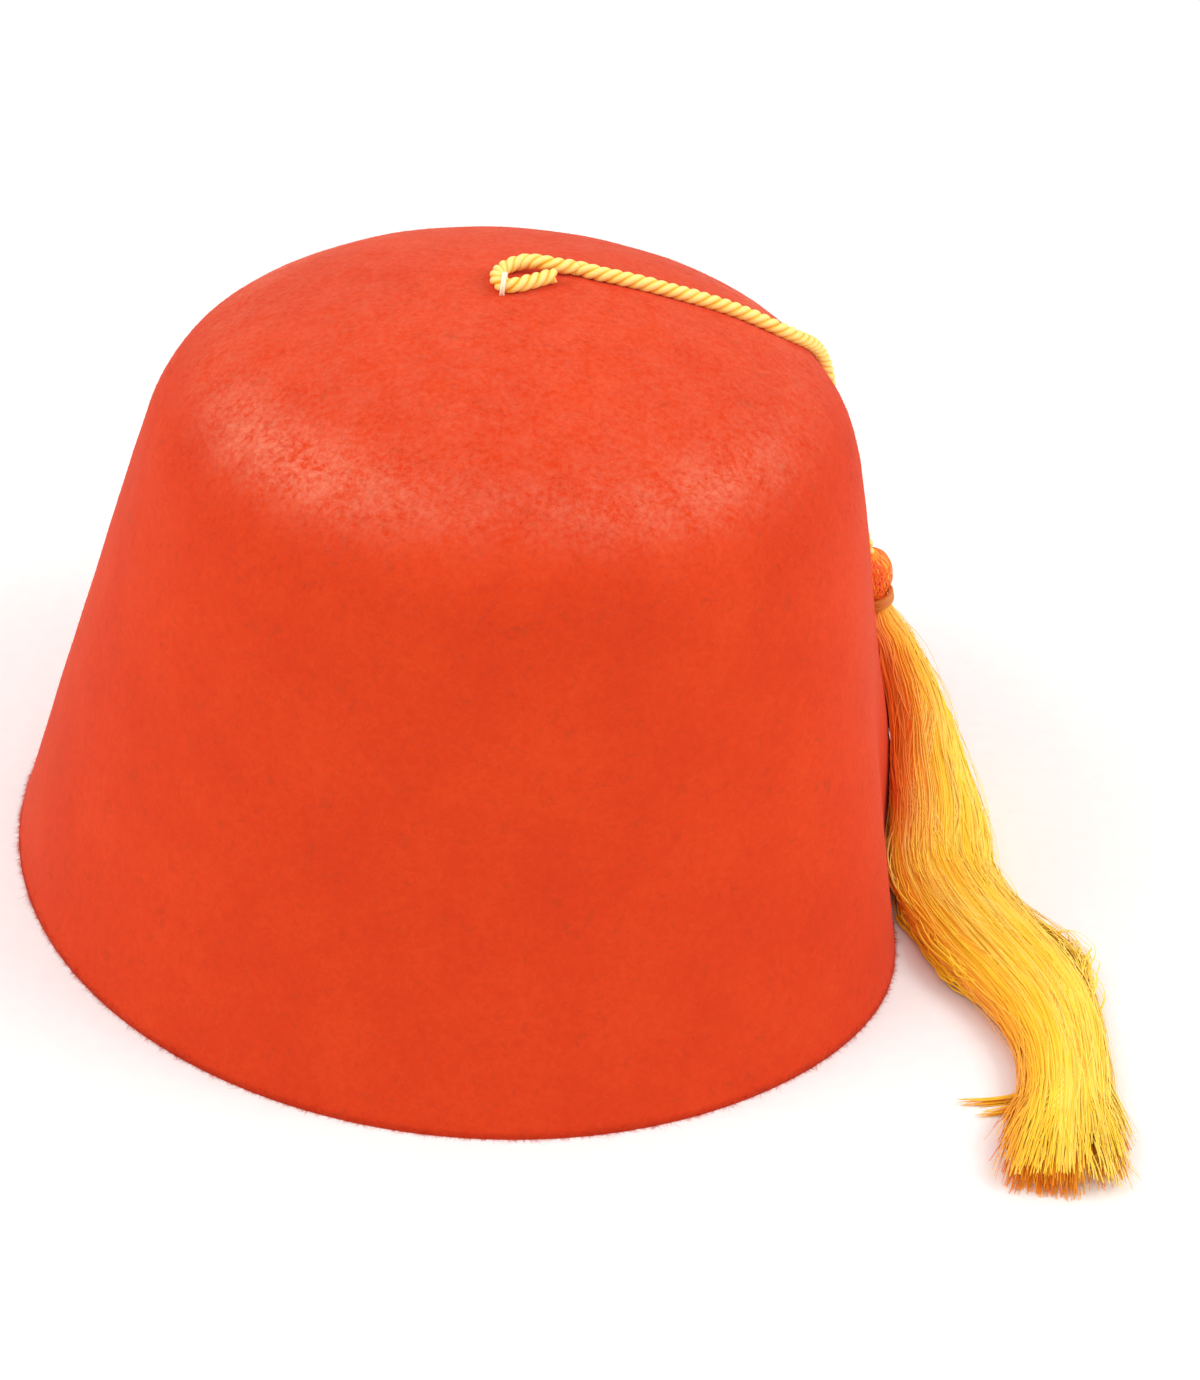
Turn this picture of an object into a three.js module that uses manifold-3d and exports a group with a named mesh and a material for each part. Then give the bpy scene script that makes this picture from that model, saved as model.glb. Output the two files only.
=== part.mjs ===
import * as THREE from 'three';
import { mergeVertices } from 'three/addons/utils/BufferGeometryUtils.js';
import Module from 'manifold-3d';

// A felt fez with a twisted cord and a floss tassel. Millimetres, +Z up, standing on its cut edge.
// The origin is the middle of the felt's footprint, and the tassel lies towards -Y on the +X side.

// Felt body
const BASE_RADIUS = 96;
const HEIGHT = 126;
const SIDE_LEAN = 15.9;
const SHOULDER_RADIUS = 27;
const CROWN_RADIUS = 110;
const FELT_WALL = 2;

// The side that was pressed flatter, deepest at the cut edge and gone at its top height
const PRESS_DEPTH = 11.9;
const PRESS_AZIMUTH = -3.1;
const PRESS_SPREAD = 13.6;
const PRESS_TOP = 92;

// The shoulder gives a little where the cord bends over it, SAG_DROP below the crown's top
const SAG_DEPTH = 1.3;
const SAG_AZIMUTH = 18;
const SAG_SPREAD = 14;
const SAG_DROP = 20;
const SAG_REACH = 8;

// The plan is a slight oval, as shares of the radius at the cut edge
const OVAL_SHARE = 0.008;
const OVAL_AZIMUTH = -33;

// Cord
const CORD_DIAMETER = 3.2;
const CORD_SIDES = 8;
const SURFACE_GAP = 0.35;
const END_GAP = 0.3;

// Tassel
const HEAD_DIAMETER = 9;
const HEAD_LENGTH = 10.5;
const HEAD_FACETS = 14;
const HEAD_HEIGHT = 44.3;
const HEAD_AZIMUTH = 28.5;
const NECK_DIAMETER = 6;
const NECK_LENGTH = 4.2;
const NECK_ROOT = 1.3;
const BINDING_WIDTH = 3;
const BINDING_THICKNESS = 1.1;
const BINDING_FACETS = 20;
const TASSEL_WIDTH = 24;
const TASSEL_THICKNESS = 10;
const LYING_LENGTH = 103.5;

// The free cord's route from the eye to the head. down: share of the way from the crown's centre to
// the cut edge, azimuth: degrees about the hat's axis, lift: extra height off the felt in cord radii.
const CORD_ROUTE = [
  { down: 0.078, azimuth: 38.1, lift: 0 },
  { down: 0.09, azimuth: 30.1, lift: 0 },
  { down: 0.112, azimuth: 23.8, lift: 0 },
  { down: 0.14, azimuth: 20.2, lift: 0 },
  { down: 0.168, azimuth: 18, lift: 0 },
  { down: 0.202, azimuth: 17, lift: 0 },
  { down: 0.245, azimuth: 16.8, lift: 0 },
  { down: 0.28, azimuth: 16.3, lift: 0 },
  { down: 0.308, azimuth: 15.7, lift: 0 },
  { down: 0.336, azimuth: 16.4, lift: 0 },
  { down: 0.359, azimuth: 18.6, lift: 0 },
  { down: 0.381, azimuth: 21.4, lift: 0 },
  { down: 0.409, azimuth: 24, lift: 0 },
  { down: 0.443, azimuth: 26, lift: 0 },
  { down: 0.482, azimuth: 27.6, lift: 0 },
  { down: 0.538, azimuth: 28.4, lift: 0 },
  { down: 0.594, azimuth: 28.6, lift: 0.1 },
  { down: 0.645, azimuth: 28.5, lift: 0.75 },
];

// The eye in plan, as shares of its size from the crown's centre, and its lift in cord radii. The
// cord rises a little over its own cut tail, which is tucked beside it.
const EYE_SIZE = 16;
const EYE_LOOP = [
  { x: 0.663, y: 0.538, lift: 0 },
  { x: 0.588, y: 0.541, lift: 0.1 },
  { x: 0.494, y: 0.5, lift: 0.45 },
  { x: 0.394, y: 0.413, lift: 0.9 },
  { x: 0.281, y: 0.394, lift: 0.9 },
  { x: 0.138, y: 0.431, lift: 0.55 },
  { x: -0.019, y: 0.406, lift: 0.2 },
  { x: -0.15, y: 0.3, lift: 0 },
  { x: -0.219, y: 0.113, lift: 0 },
  { x: -0.206, y: -0.056, lift: 0 },
  { x: -0.125, y: -0.156, lift: 0 },
  { x: 0, y: -0.138, lift: 0 },
  { x: 0.163, y: -0.031, lift: 0 },
  { x: 0.313, y: 0.094, lift: 0 },
  { x: 0.431, y: 0.163, lift: 0 },
];

// The head's profile from its top: shares of its radius and of its length
const HEAD_PROFILE = [
  { radius: 0.5, drop: 0 },
  { radius: 0.86, drop: 0.16 },
  { radius: 1, drop: 0.42 },
  { radius: 0.94, drop: 0.72 },
];

// The binding's profile outside its bore: shares of its thickness and of its width
const BINDING_PROFILE = [
  { thickness: 0, drop: 0 },
  { thickness: 0, drop: 1 },
  { thickness: 0.5, drop: 1 },
  { thickness: 1, drop: 0.7 },
  { thickness: 1, drop: 0.3 },
  { thickness: 0.5, drop: 0 },
  { thickness: 0, drop: 0 },
];

// The skirt beside the wall. azimuth in degrees, height as a share of the head's height,
// off: distance from the felt as a share of the tassel's width, and the section as shares of
// the tassel's width and thickness.
const HANGING = [
  { azimuth: 27, height: 0.71, off: 0.24, width: 0.4, thickness: 0.8 },
  { azimuth: 24, height: 0.585, off: 0.26, width: 0.47, thickness: 1.3 },
  { azimuth: 18.8, height: 0.465, off: 0.29, width: 0.54, thickness: 1.75 },
  { azimuth: 12.6, height: 0.36, off: 0.345, width: 0.63, thickness: 1.95 },
  { azimuth: 6.4, height: 0.265, off: 0.405, width: 0.74, thickness: 1.75 },
  { azimuth: 0.9, height: 0.18, off: 0.485, width: 0.84, thickness: 1.4 },
];

// The skirt on the floor, from the last row above. out and forward are shares of the lying length.
const LYING = [
  { out: 0.008, forward: 0.095, width: 0.92, thickness: 1.1 },
  { out: 0.036, forward: 0.2, width: 0.98, thickness: 1.08 },
  { out: 0.087, forward: 0.305, width: 1, thickness: 1.08 },
  { out: 0.142, forward: 0.4, width: 0.97, thickness: 1.05 },
  { out: 0.186, forward: 0.5, width: 0.86, thickness: 1.02 },
  { out: 0.207, forward: 0.605, width: 0.72, thickness: 0.96 },
  { out: 0.209, forward: 0.72, width: 0.68, thickness: 0.9 },
  { out: 0.199, forward: 0.835, width: 0.8, thickness: 0.84 },
  { out: 0.187, forward: 0.975, width: 0.96, thickness: 0.68 },
];

// Height of the lying skirt's middle line as a share of its half thickness: its locks sink together
const SETTLE = 0.76;

// Locks of the skirt. across and up place a lock in the section (-1 to 1), size is its share of
// the section, reach where its tip ends, and stray the sideways wander of the tip in tassel widths.
const LOCKS = [
  { across: -0.62, up: 0.05, size: 0.4, reach: 0.965, stray: -0.13, bend: 0 },
  { across: -0.3, up: 0.42, size: 0.42, reach: 1, stray: -0.12, bend: 0 },
  { across: 0.05, up: 0.5, size: 0.44, reach: 0.99, stray: -0.03, bend: 0.4 },
  { across: 0.38, up: 0.36, size: 0.42, reach: 0.99, stray: 0.03, bend: 0 },
  { across: 0.64, up: -0.02, size: 0.38, reach: 0.955, stray: 0.1, bend: 0.7 },
  { across: -0.42, up: -0.4, size: 0.46, reach: 0.985, stray: -0.12, bend: 0 },
  { across: 0, up: -0.35, size: 0.5, reach: 0.99, stray: 0, bend: 0 },
  { across: 0.42, up: -0.4, size: 0.46, reach: 0.97, stray: -0.03, bend: 0 },
];
const STRAY_LOCK = { across: -0.5, up: -0.5, size: 0.15, from: 0.74, reach: 0.895, stray: -0.58, bend: 0 };
const TUFT_LOCK = { across: 0.55, up: -0.2, size: 0.26, from: 0.7, reach: 0.975, stray: 0.16, bend: 0 };
const LOOSE_LOCK = { across: 0.62, up: -0.05, size: 0.24, from: 0.4, reach: 0.8, stray: -0.16, bend: 1.5 };

// Where the bends of the locks swell, how far along the skirt and how far out in tassel widths
const BEND_CENTRE = 0.6;
const BEND_SPREAD = 0.09;
const BEND_SIZE = 0.13;

// Locks fan over the section by LOCK_FAN, turn aside from STRAY_START on, and end in a blunt tip
const LOCK_FAN = 1.45;
const STRAY_START = 0.45;
const STRAY_CURVE = 1.6;
const TIP_START = 0.86;
const TIP_BLUNT = 0.35;

// Facets
const AROUND = 80;
const SIDE_STEPS = 6;
const SHOULDER_STEPS = 6;
const CROWN_STEPS = 6;
const LOCK_SIDES = 8;
const LOCK_STEPS = 22;
const EYE_STEPS = 30;
const CORD_STEPS = 46;

const rad = THREE.MathUtils.degToRad;

// Outline of the felt from the cut edge to the crown's centre: a leaning line, the shoulder's arc
// and the crown's arc, each tangent to the next. inset moves all three inwards.
function outline(inset) {
  const lean = rad(SIDE_LEAN);
  const shoulder = SHOULDER_RADIUS - inset;
  const crown = CROWN_RADIUS - inset;
  const foot = new THREE.Vector2(BASE_RADIUS - inset / Math.cos(lean), 0);
  const up = new THREE.Vector2(-Math.sin(lean), Math.cos(lean));
  const inwards = new THREE.Vector2(-Math.cos(lean), -Math.sin(lean));
  const crownCentre = new THREE.Vector2(0, HEIGHT - CROWN_RADIUS);
  const from = foot.clone().addScaledVector(inwards, shoulder).sub(crownCentre);
  const along = from.dot(up);
  const climb = -along + Math.sqrt(along ** 2 - from.lengthSq() + (crown - shoulder) ** 2);
  const shoulderCentre = foot.clone().addScaledVector(inwards, shoulder).addScaledVector(up, climb);
  const sideEnd = foot.clone().addScaledVector(up, climb);
  const meet = shoulderCentre.clone().sub(crownCentre).angle();
  const path = new THREE.Path();
  path.moveTo(foot.x, foot.y);
  path.lineTo(sideEnd.x, sideEnd.y);
  path.absarc(shoulderCentre.x, shoulderCentre.y, shoulder, lean, meet, false);
  path.absarc(crownCentre.x, crownCentre.y, crown, meet, Math.PI / 2, false);
  return path;
}

// A bell curve of height 1 at its centre, over one or two shares of its spread
const bell = (a, b = 0) => Math.exp(-(a ** 2 + b ** 2) / 2);

// Radius of the plan at one azimuth: the round radius, the oval, the pressed side and the sag
function planRadius(radius, height, azimuth) {
  const foot = 1 - height / HEIGHT;
  const oval = 1 + OVAL_SHARE * Math.cos(2 * (azimuth - rad(OVAL_AZIMUTH))) * foot;
  const turn = (azimuth - rad(PRESS_AZIMUTH)) / rad(PRESS_SPREAD);
  const press = PRESS_DEPTH * bell(turn) * Math.max(0, 1 - height / PRESS_TOP);
  const sagTurn = (azimuth - rad(SAG_AZIMUTH)) / rad(SAG_SPREAD);
  const sagDrop = (HEIGHT - SAG_DROP - height) / SAG_REACH;
  return radius * oval - press - SAG_DEPTH * bell(sagTurn, sagDrop);
}

function planPoint(radius, height, azimuth) {
  const r = planRadius(radius, height, azimuth);
  return new THREE.Vector3(r * Math.cos(azimuth), r * Math.sin(azimuth), height);
}

// A closed skin over rings of equal count, with a single point before the first ring and after the last
function skin(first, rings, last) {
  const count = rings[0].length;
  const positions = [first, ...rings.flat(), last].flatMap((p) => [p.x, p.y, p.z]);
  const end = 1 + rings.length * count;
  const at = (ring, i) => 1 + ring * count + (i % count);
  const faces = [];
  for (let i = 0; i < count; i += 1) {
    faces.push(0, at(0, i), at(0, i + 1));
    for (let ring = 0; ring + 1 < rings.length; ring += 1) {
      faces.push(at(ring, i), at(ring + 1, i), at(ring + 1, i + 1));
      faces.push(at(ring, i), at(ring + 1, i + 1), at(ring, i + 1));
    }
    faces.push(at(rings.length - 1, i), end, at(rings.length - 1, i + 1));
  }
  const geometry = new THREE.BufferGeometry();
  geometry.setAttribute('position', new THREE.Float32BufferAttribute(positions, 3));
  geometry.setIndex(faces);
  return geometry;
}

// The outline's points from the crown down, without the centre
function stations(path) {
  const steps = [SIDE_STEPS, SHOULDER_STEPS, CROWN_STEPS];
  const points = path.curves.flatMap((curve, i) => curve.getPoints(steps[i]).slice(i === 0 ? 0 : 1));
  return points.reverse().slice(1);
}

function ringAt(point) {
  return Array.from({ length: AROUND }, (_, i) => {
    const azimuth = (2 * Math.PI * i) / AROUND - Math.PI;
    return planPoint(point.x, point.y, azimuth);
  });
}

function feltBody() {
  const outer = stations(outline(0)).map(ringAt);
  const inner = stations(outline(FELT_WALL)).map(ringAt);
  const top = new THREE.Vector3(0, 0, HEIGHT);
  const under = new THREE.Vector3(0, 0, HEIGHT - FELT_WALL);
  return skin(top, [...outer, ...inner.reverse()], under);
}

// A point a given height above the felt, by its share of the way down and its azimuth
const feltLine = outline(0);
function onFelt(down, azimuth, height) {
  const place = feltLine.getPointAt(1 - down);
  const along = feltLine.getTangentAt(1 - down);
  const r = planRadius(place.x, place.y, azimuth) + along.y * height;
  return new THREE.Vector3(r * Math.cos(azimuth), r * Math.sin(azimuth), place.y - along.x * height);
}

// A point above the crown, by its place in plan
function onCrown(x, y, height) {
  const r = Math.hypot(x, y);
  const rise = Math.sqrt((CROWN_RADIUS + height) ** 2 - r ** 2);
  return new THREE.Vector3(x, y, HEIGHT - CROWN_RADIUS + rise);
}

function solid(geometry) {
  const bare = geometry.clone();
  bare.deleteAttribute('normal');
  bare.deleteAttribute('uv');
  return mergeVertices(bare, 1e-4);
}

function roundSection(radius, sides) {
  const corners = Array.from({ length: sides }, (_, i) => {
    const turn = (2 * Math.PI * (i + 0.5)) / sides;
    return new THREE.Vector2(radius * Math.cos(turn), radius * Math.sin(turn));
  });
  return new THREE.Shape(corners);
}

function tube(points, steps) {
  const path = new THREE.CatmullRomCurve3(points);
  const section = roundSection(CORD_DIAMETER / 2, CORD_SIDES);
  return solid(new THREE.ExtrudeGeometry(section, { steps, extrudePath: path, bevelEnabled: false }));
}

// Solids are joined here
const wasm = await Module();
wasm.setup();

function toManifold(geometry) {
  return new wasm.Manifold(new wasm.Mesh({
    numProp: 3,
    vertProperties: new Float32Array(geometry.attributes.position.array),
    triVerts: new Uint32Array(geometry.index.array),
  }));
}

function join(geometries) {
  const whole = geometries.map(toManifold).reduce((a, b) => a.add(b));
  const mesh = whole.getMesh();
  const geometry = new THREE.BufferGeometry();
  geometry.setAttribute('position', new THREE.BufferAttribute(mesh.vertProperties, 3));
  geometry.setIndex(new THREE.BufferAttribute(mesh.triVerts, 1));
  return geometry;
}

const cordRadius = CORD_DIAMETER / 2;
const cordLift = (lift) => cordRadius * (1 + lift) + SURFACE_GAP;

function cordEye() {
  const points = EYE_LOOP.map((row) => onCrown(row.x * EYE_SIZE, row.y * EYE_SIZE, cordLift(row.lift)));
  return tube(points, EYE_STEPS);
}

// The head hangs along the wall: its axis runs down the felt's lean
const headAzimuth = rad(HEAD_AZIMUTH);
const headDown = new THREE.Vector3(
  Math.sin(rad(SIDE_LEAN)) * Math.cos(headAzimuth),
  Math.sin(rad(SIDE_LEAN)) * Math.sin(headAzimuth),
  -Math.cos(rad(SIDE_LEAN)),
);

function wallRadius(height, azimuth) {
  return planRadius(BASE_RADIUS - height * Math.tan(rad(SIDE_LEAN)), height, azimuth);
}

function besideWall(height, azimuth, off) {
  const r = wallRadius(height, azimuth) + off;
  return new THREE.Vector3(r * Math.cos(azimuth), r * Math.sin(azimuth), height);
}

const headOff = (HEAD_DIAMETER / 2 + SURFACE_GAP + END_GAP) / Math.cos(rad(SIDE_LEAN));
const headCentre = besideWall(HEAD_HEIGHT, headAzimuth, headOff);
const onHeadAxis = (distance) => headCentre.clone().addScaledVector(headDown, distance);

function freeCord() {
  const points = CORD_ROUTE.map((row) => onFelt(row.down, rad(row.azimuth), cordLift(row.lift)));
  points.push(onHeadAxis(-HEAD_LENGTH / 2 - END_GAP - CORD_DIAMETER));
  points.push(onHeadAxis(-HEAD_LENGTH / 2 - END_GAP));
  return tube(points, CORD_STEPS);
}

// Turns a solid made round +Y, with its top at y = 0, to hang from a point of the head's axis
function hangOnAxis(geometry, distance) {
  const up = new THREE.Vector3(0, 1, 0);
  const turn = new THREE.Quaternion().setFromUnitVectors(up, headDown.clone().negate());
  const place = new THREE.Matrix4().compose(onHeadAxis(distance), turn, new THREE.Vector3(1, 1, 1));
  return geometry.applyMatrix4(place);
}

// The head and the neck below it, which reaches down into the skirt's root
function headSolid() {
  const radius = HEAD_DIAMETER / 2;
  const neck = NECK_DIAMETER / 2;
  const root = -HEAD_LENGTH - NECK_LENGTH * NECK_ROOT;
  const profile = [
    new THREE.Vector2(0, root),
    new THREE.Vector2(neck, root),
    new THREE.Vector2(neck, -HEAD_LENGTH),
    ...HEAD_PROFILE.map((row) => new THREE.Vector2(radius * row.radius, -HEAD_LENGTH * row.drop)).reverse(),
    new THREE.Vector2(0, 0),
  ];
  return solid(hangOnAxis(new THREE.LatheGeometry(profile, HEAD_FACETS), -HEAD_LENGTH / 2));
}

function neckBinding() {
  const bore = NECK_DIAMETER / 2 + END_GAP;
  const top = -(NECK_LENGTH - BINDING_WIDTH) / 2;
  const profile = BINDING_PROFILE.map((row) => new THREE.Vector2(
    bore + BINDING_THICKNESS * row.thickness,
    top - BINDING_WIDTH * row.drop,
  ));
  return solid(hangOnAxis(new THREE.LatheGeometry(profile, BINDING_FACETS), HEAD_LENGTH / 2));
}

// The skirt's middle line and its section along it
const skirtStart = HEAD_LENGTH / 2 + NECK_LENGTH;
const hangingPoints = HANGING.map((row) => besideWall(
  row.height * HEAD_HEIGHT,
  rad(row.azimuth),
  row.off * TASSEL_WIDTH,
));
const landing = hangingPoints[hangingPoints.length - 1];
const lyingPoints = LYING.map((row) => new THREE.Vector3(
  landing.x + row.out * LYING_LENGTH,
  landing.y - row.forward * LYING_LENGTH,
  (row.thickness * TASSEL_THICKNESS * SETTLE) / 2,
));
const skirtPath = new THREE.CatmullRomCurve3([
  onHeadAxis(skirtStart),
  onHeadAxis(skirtStart + NECK_LENGTH / 3),
  ...hangingPoints,
  ...lyingPoints,
]);
const neckRow = { width: NECK_DIAMETER / TASSEL_WIDTH, thickness: NECK_DIAMETER / TASSEL_THICKNESS };
const sections = [neckRow, neckRow, ...HANGING, ...LYING];

function sectionAt(share) {
  const place = share * (sections.length - 1);
  const low = Math.min(Math.floor(place), sections.length - 2);
  const mix = place - low;
  const width = THREE.MathUtils.lerp(sections[low].width, sections[low + 1].width, mix);
  const thickness = THREE.MathUtils.lerp(sections[low].thickness, sections[low + 1].thickness, mix);
  return { width: (width * TASSEL_WIDTH) / 2, thickness: (thickness * TASSEL_THICKNESS) / 2 };
}

// One lock: an oval section carried beside the skirt's middle line, with a blunt tapered tip.
// It widens out of the neck, and nothing of it goes below the floor.
function lock(row) {
  const from = row.from ?? 0;
  const up = new THREE.Vector3(0, 0, 1);
  const rings = [];
  for (let step = 0; step <= LOCK_STEPS; step += 1) {
    const run = step / LOCK_STEPS;
    const share = THREE.MathUtils.lerp(from, row.reach, run);
    const centre = skirtPath.getPoint(share);
    const along = skirtPath.getTangent(share);
    const side = along.clone().cross(up).normalize().negate();
    const rise = along.clone().cross(side).normalize();
    const section = sectionAt(share);
    const bulge = row.bend * BEND_SIZE * bell((share - BEND_CENTRE) / BEND_SPREAD);
    const wander = row.stray * Math.max(0, (run - STRAY_START) / (1 - STRAY_START)) ** STRAY_CURVE;
    const fan = (1 - row.size) * LOCK_FAN;
    centre.addScaledVector(side, section.width * row.across * fan);
    centre.addScaledVector(side, TASSEL_WIDTH * (wander + bulge));
    centre.addScaledVector(rise, section.thickness * row.up * fan);
    const tipRun = Math.max(0, (run - TIP_START) / (1 - TIP_START));
    const tip = Math.sqrt(Math.max(TIP_BLUNT ** 2, 1 - tipRun ** 2));
    rings.push(Array.from({ length: LOCK_SIDES }, (_, i) => {
      const turn = (-2 * Math.PI * i) / LOCK_SIDES;
      const point = centre.clone();
      point.addScaledVector(side, section.width * row.size * tip * Math.cos(turn));
      point.addScaledVector(rise, section.thickness * row.size * tip * Math.sin(turn));
      point.z = Math.max(point.z, 0);
      return point;
    }));
  }
  const middle = (ring) => ring.reduce((a, p) => a.add(p), new THREE.Vector3()).divideScalar(ring.length);
  return skin(middle(rings[0]), rings, middle(rings[rings.length - 1]));
}

function tassel() {
  const locks = [...LOCKS, STRAY_LOCK, TUFT_LOCK, LOOSE_LOCK].map(lock);
  return join([headSolid(), ...locks]);
}

// The named pieces
const felt = new THREE.MeshStandardMaterial({ color: 0xe04a26, roughness: 0.95, metalness: 0 });
const cord = new THREE.MeshStandardMaterial({ color: 0xf7cf5a, roughness: 0.6, metalness: 0 });
const floss = new THREE.MeshStandardMaterial({ color: 0xfbc02d, roughness: 0.5, metalness: 0 });
const thread = new THREE.MeshStandardMaterial({ color: 0xe09a1e, roughness: 0.6, metalness: 0 });

const fez = new THREE.Group();
fez.name = 'fez_hat';

function add(name, geometry, material) {
  const mesh = new THREE.Mesh(geometry, material);
  mesh.name = name;
  fez.add(mesh);
  return mesh;
}

const body = add('felt_body', feltBody(), felt);
add('cord_eye', cordEye(), cord);
add('tassel_cord', freeCord(), cord);
add('tassel', tassel(), floss);
add('neck_binding', neckBinding(), thread);

// The origin goes to the middle of the felt's footprint
body.geometry.computeBoundingBox();
const middle = body.geometry.boundingBox.getCenter(new THREE.Vector3());
fez.position.set(-middle.x, -middle.y, 0);

export default fez;
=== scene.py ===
"""A felt fez with a twisted cord and a floss tassel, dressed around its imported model.

Everything is in metres in the model's frame: +Z up, the hat standing on its cut edge, the origin in the
middle of the felt's footprint. Sizes repeat the part's own, so each surface lies where its solid lies.
"""

import logging
import math
from dataclasses import dataclass
from enum import Enum

import bpy
import numpy as np
from mathutils import Matrix, Vector
from numpy.typing import NDArray


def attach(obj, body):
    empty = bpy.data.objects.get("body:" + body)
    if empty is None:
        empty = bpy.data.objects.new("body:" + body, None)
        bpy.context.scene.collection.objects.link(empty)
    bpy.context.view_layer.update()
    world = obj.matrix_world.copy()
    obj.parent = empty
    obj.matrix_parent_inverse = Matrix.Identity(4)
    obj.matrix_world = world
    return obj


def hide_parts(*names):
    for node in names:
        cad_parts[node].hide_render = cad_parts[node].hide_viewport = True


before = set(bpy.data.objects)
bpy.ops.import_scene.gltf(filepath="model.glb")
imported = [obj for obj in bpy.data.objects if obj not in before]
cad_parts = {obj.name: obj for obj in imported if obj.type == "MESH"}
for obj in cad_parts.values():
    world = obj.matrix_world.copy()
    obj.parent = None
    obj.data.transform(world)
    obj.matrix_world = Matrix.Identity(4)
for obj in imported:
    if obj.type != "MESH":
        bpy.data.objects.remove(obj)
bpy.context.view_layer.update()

Array = NDArray[np.float64]
log = logging.getLogger("fez")

MM = 0.001
BODY = "root"
SEED = 1207
RELIEF_STRENGTH = 0.5
FINE_STEPS = 4000

# A Mix node's sockets by number, because those for values and those for colours share their names
VALUE_A, VALUE_B, VALUE_OUT = 2, 3, 0
COLOUR_A, COLOUR_B, COLOUR_OUT = 6, 7, 2


class Slot(Enum):
    """Names of the material slots: felt, cord, floss and thread."""

    FELT = "felt"
    CORD = "cord"
    FLOSS = "floss"
    THREAD = "thread"


# Colours and shader nodes


def linear(hex_code: str) -> tuple[float, float, float, float]:
    """Turns an sRGB hex colour to linear RGBA.

    Args:
        hex_code: The colour, such as "E0461F".

    Returns:
        Its linear red, green and blue, with an alpha of 1.
    """
    srgb = np.array([int(hex_code[i:i + 2], 16) / 255 for i in (0, 2, 4)])
    low = srgb / 12.92
    high = ((srgb + 0.055) / 1.055) ** 2.4
    red, green, blue = np.where(srgb <= 0.04045, low, high)
    return float(red), float(green), float(blue), 1.0


def add_node(tree: bpy.types.NodeTree, kind: str, inputs: dict | None = None, **settings) -> bpy.types.Node:
    """Adds a node to a tree with its settings and its inputs.

    Args:
        tree: The material's node tree.
        kind: The node's type name without its ShaderNode prefix.
        inputs: Values by input name or number. A socket is linked, and anything else is set.
        settings: The node's own properties.

    Returns:
        The new node.
    """
    node = tree.nodes.new("ShaderNode" + kind)
    for name, value in settings.items():
        setattr(node, name, value)
    for name, value in (inputs or {}).items():
        if isinstance(value, bpy.types.NodeSocket):
            tree.links.new(value, node.inputs[name])
        else:
            node.inputs[name].default_value = value
    return node


def set_ramp(node: bpy.types.Node, stops: list[tuple[float, str]]) -> bpy.types.NodeSocket:
    """Sets a colour ramp's stops.

    Args:
        node: The colour ramp node.
        stops: Places from 0 to 1 with their sRGB hex colours, in order.

    Returns:
        The ramp's colour output.
    """
    ramp = node.color_ramp
    while len(ramp.elements) < len(stops):
        ramp.elements.new(0.5)
    for element, (place, colour) in zip(ramp.elements, stops):
        element.position = place
        element.color = linear(colour)
    return node.outputs["Color"]


def open_material(name: str) -> tuple[bpy.types.Material, bpy.types.NodeTree]:
    """Makes a material that holds one principled shader.

    Args:
        name: The material's name.

    Returns:
        The material and its node tree.
    """
    material = bpy.data.materials.new(name)
    material.use_nodes = True
    return material, material.node_tree


def dress_shader(
    tree: bpy.types.NodeTree,
    colour: bpy.types.NodeSocket,
    constants: dict[str, object],
    height: bpy.types.NodeSocket | None = None,
    bump_mm: float = 0.0,
) -> None:
    """Gives the principled shader its colour, its constants and its fine relief.

    Args:
        tree: The material's node tree.
        colour: The base colour.
        constants: Values of other inputs by name.
        height: Height of the relief, from 0 to 1.
        bump_mm: How high the relief is.
    """
    shader = tree.nodes["Principled BSDF"]
    tree.links.new(colour, shader.inputs["Base Color"])
    for name, value in constants.items():
        shader.inputs[name].default_value = value
    if height is not None:
        values = {"Strength": RELIEF_STRENGTH, "Distance": bump_mm * MM, "Height": height}
        relief = add_node(tree, "Bump", values)
        tree.links.new(relief.outputs["Normal"], shader.inputs["Normal"])


@dataclass(frozen=True)
class Grain:
    """A noise of one size: its finer layers, how strong they are, and how far it is warped."""

    size_mm: float
    detail: float
    roughness: float
    distortion: float = 0.0


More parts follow.
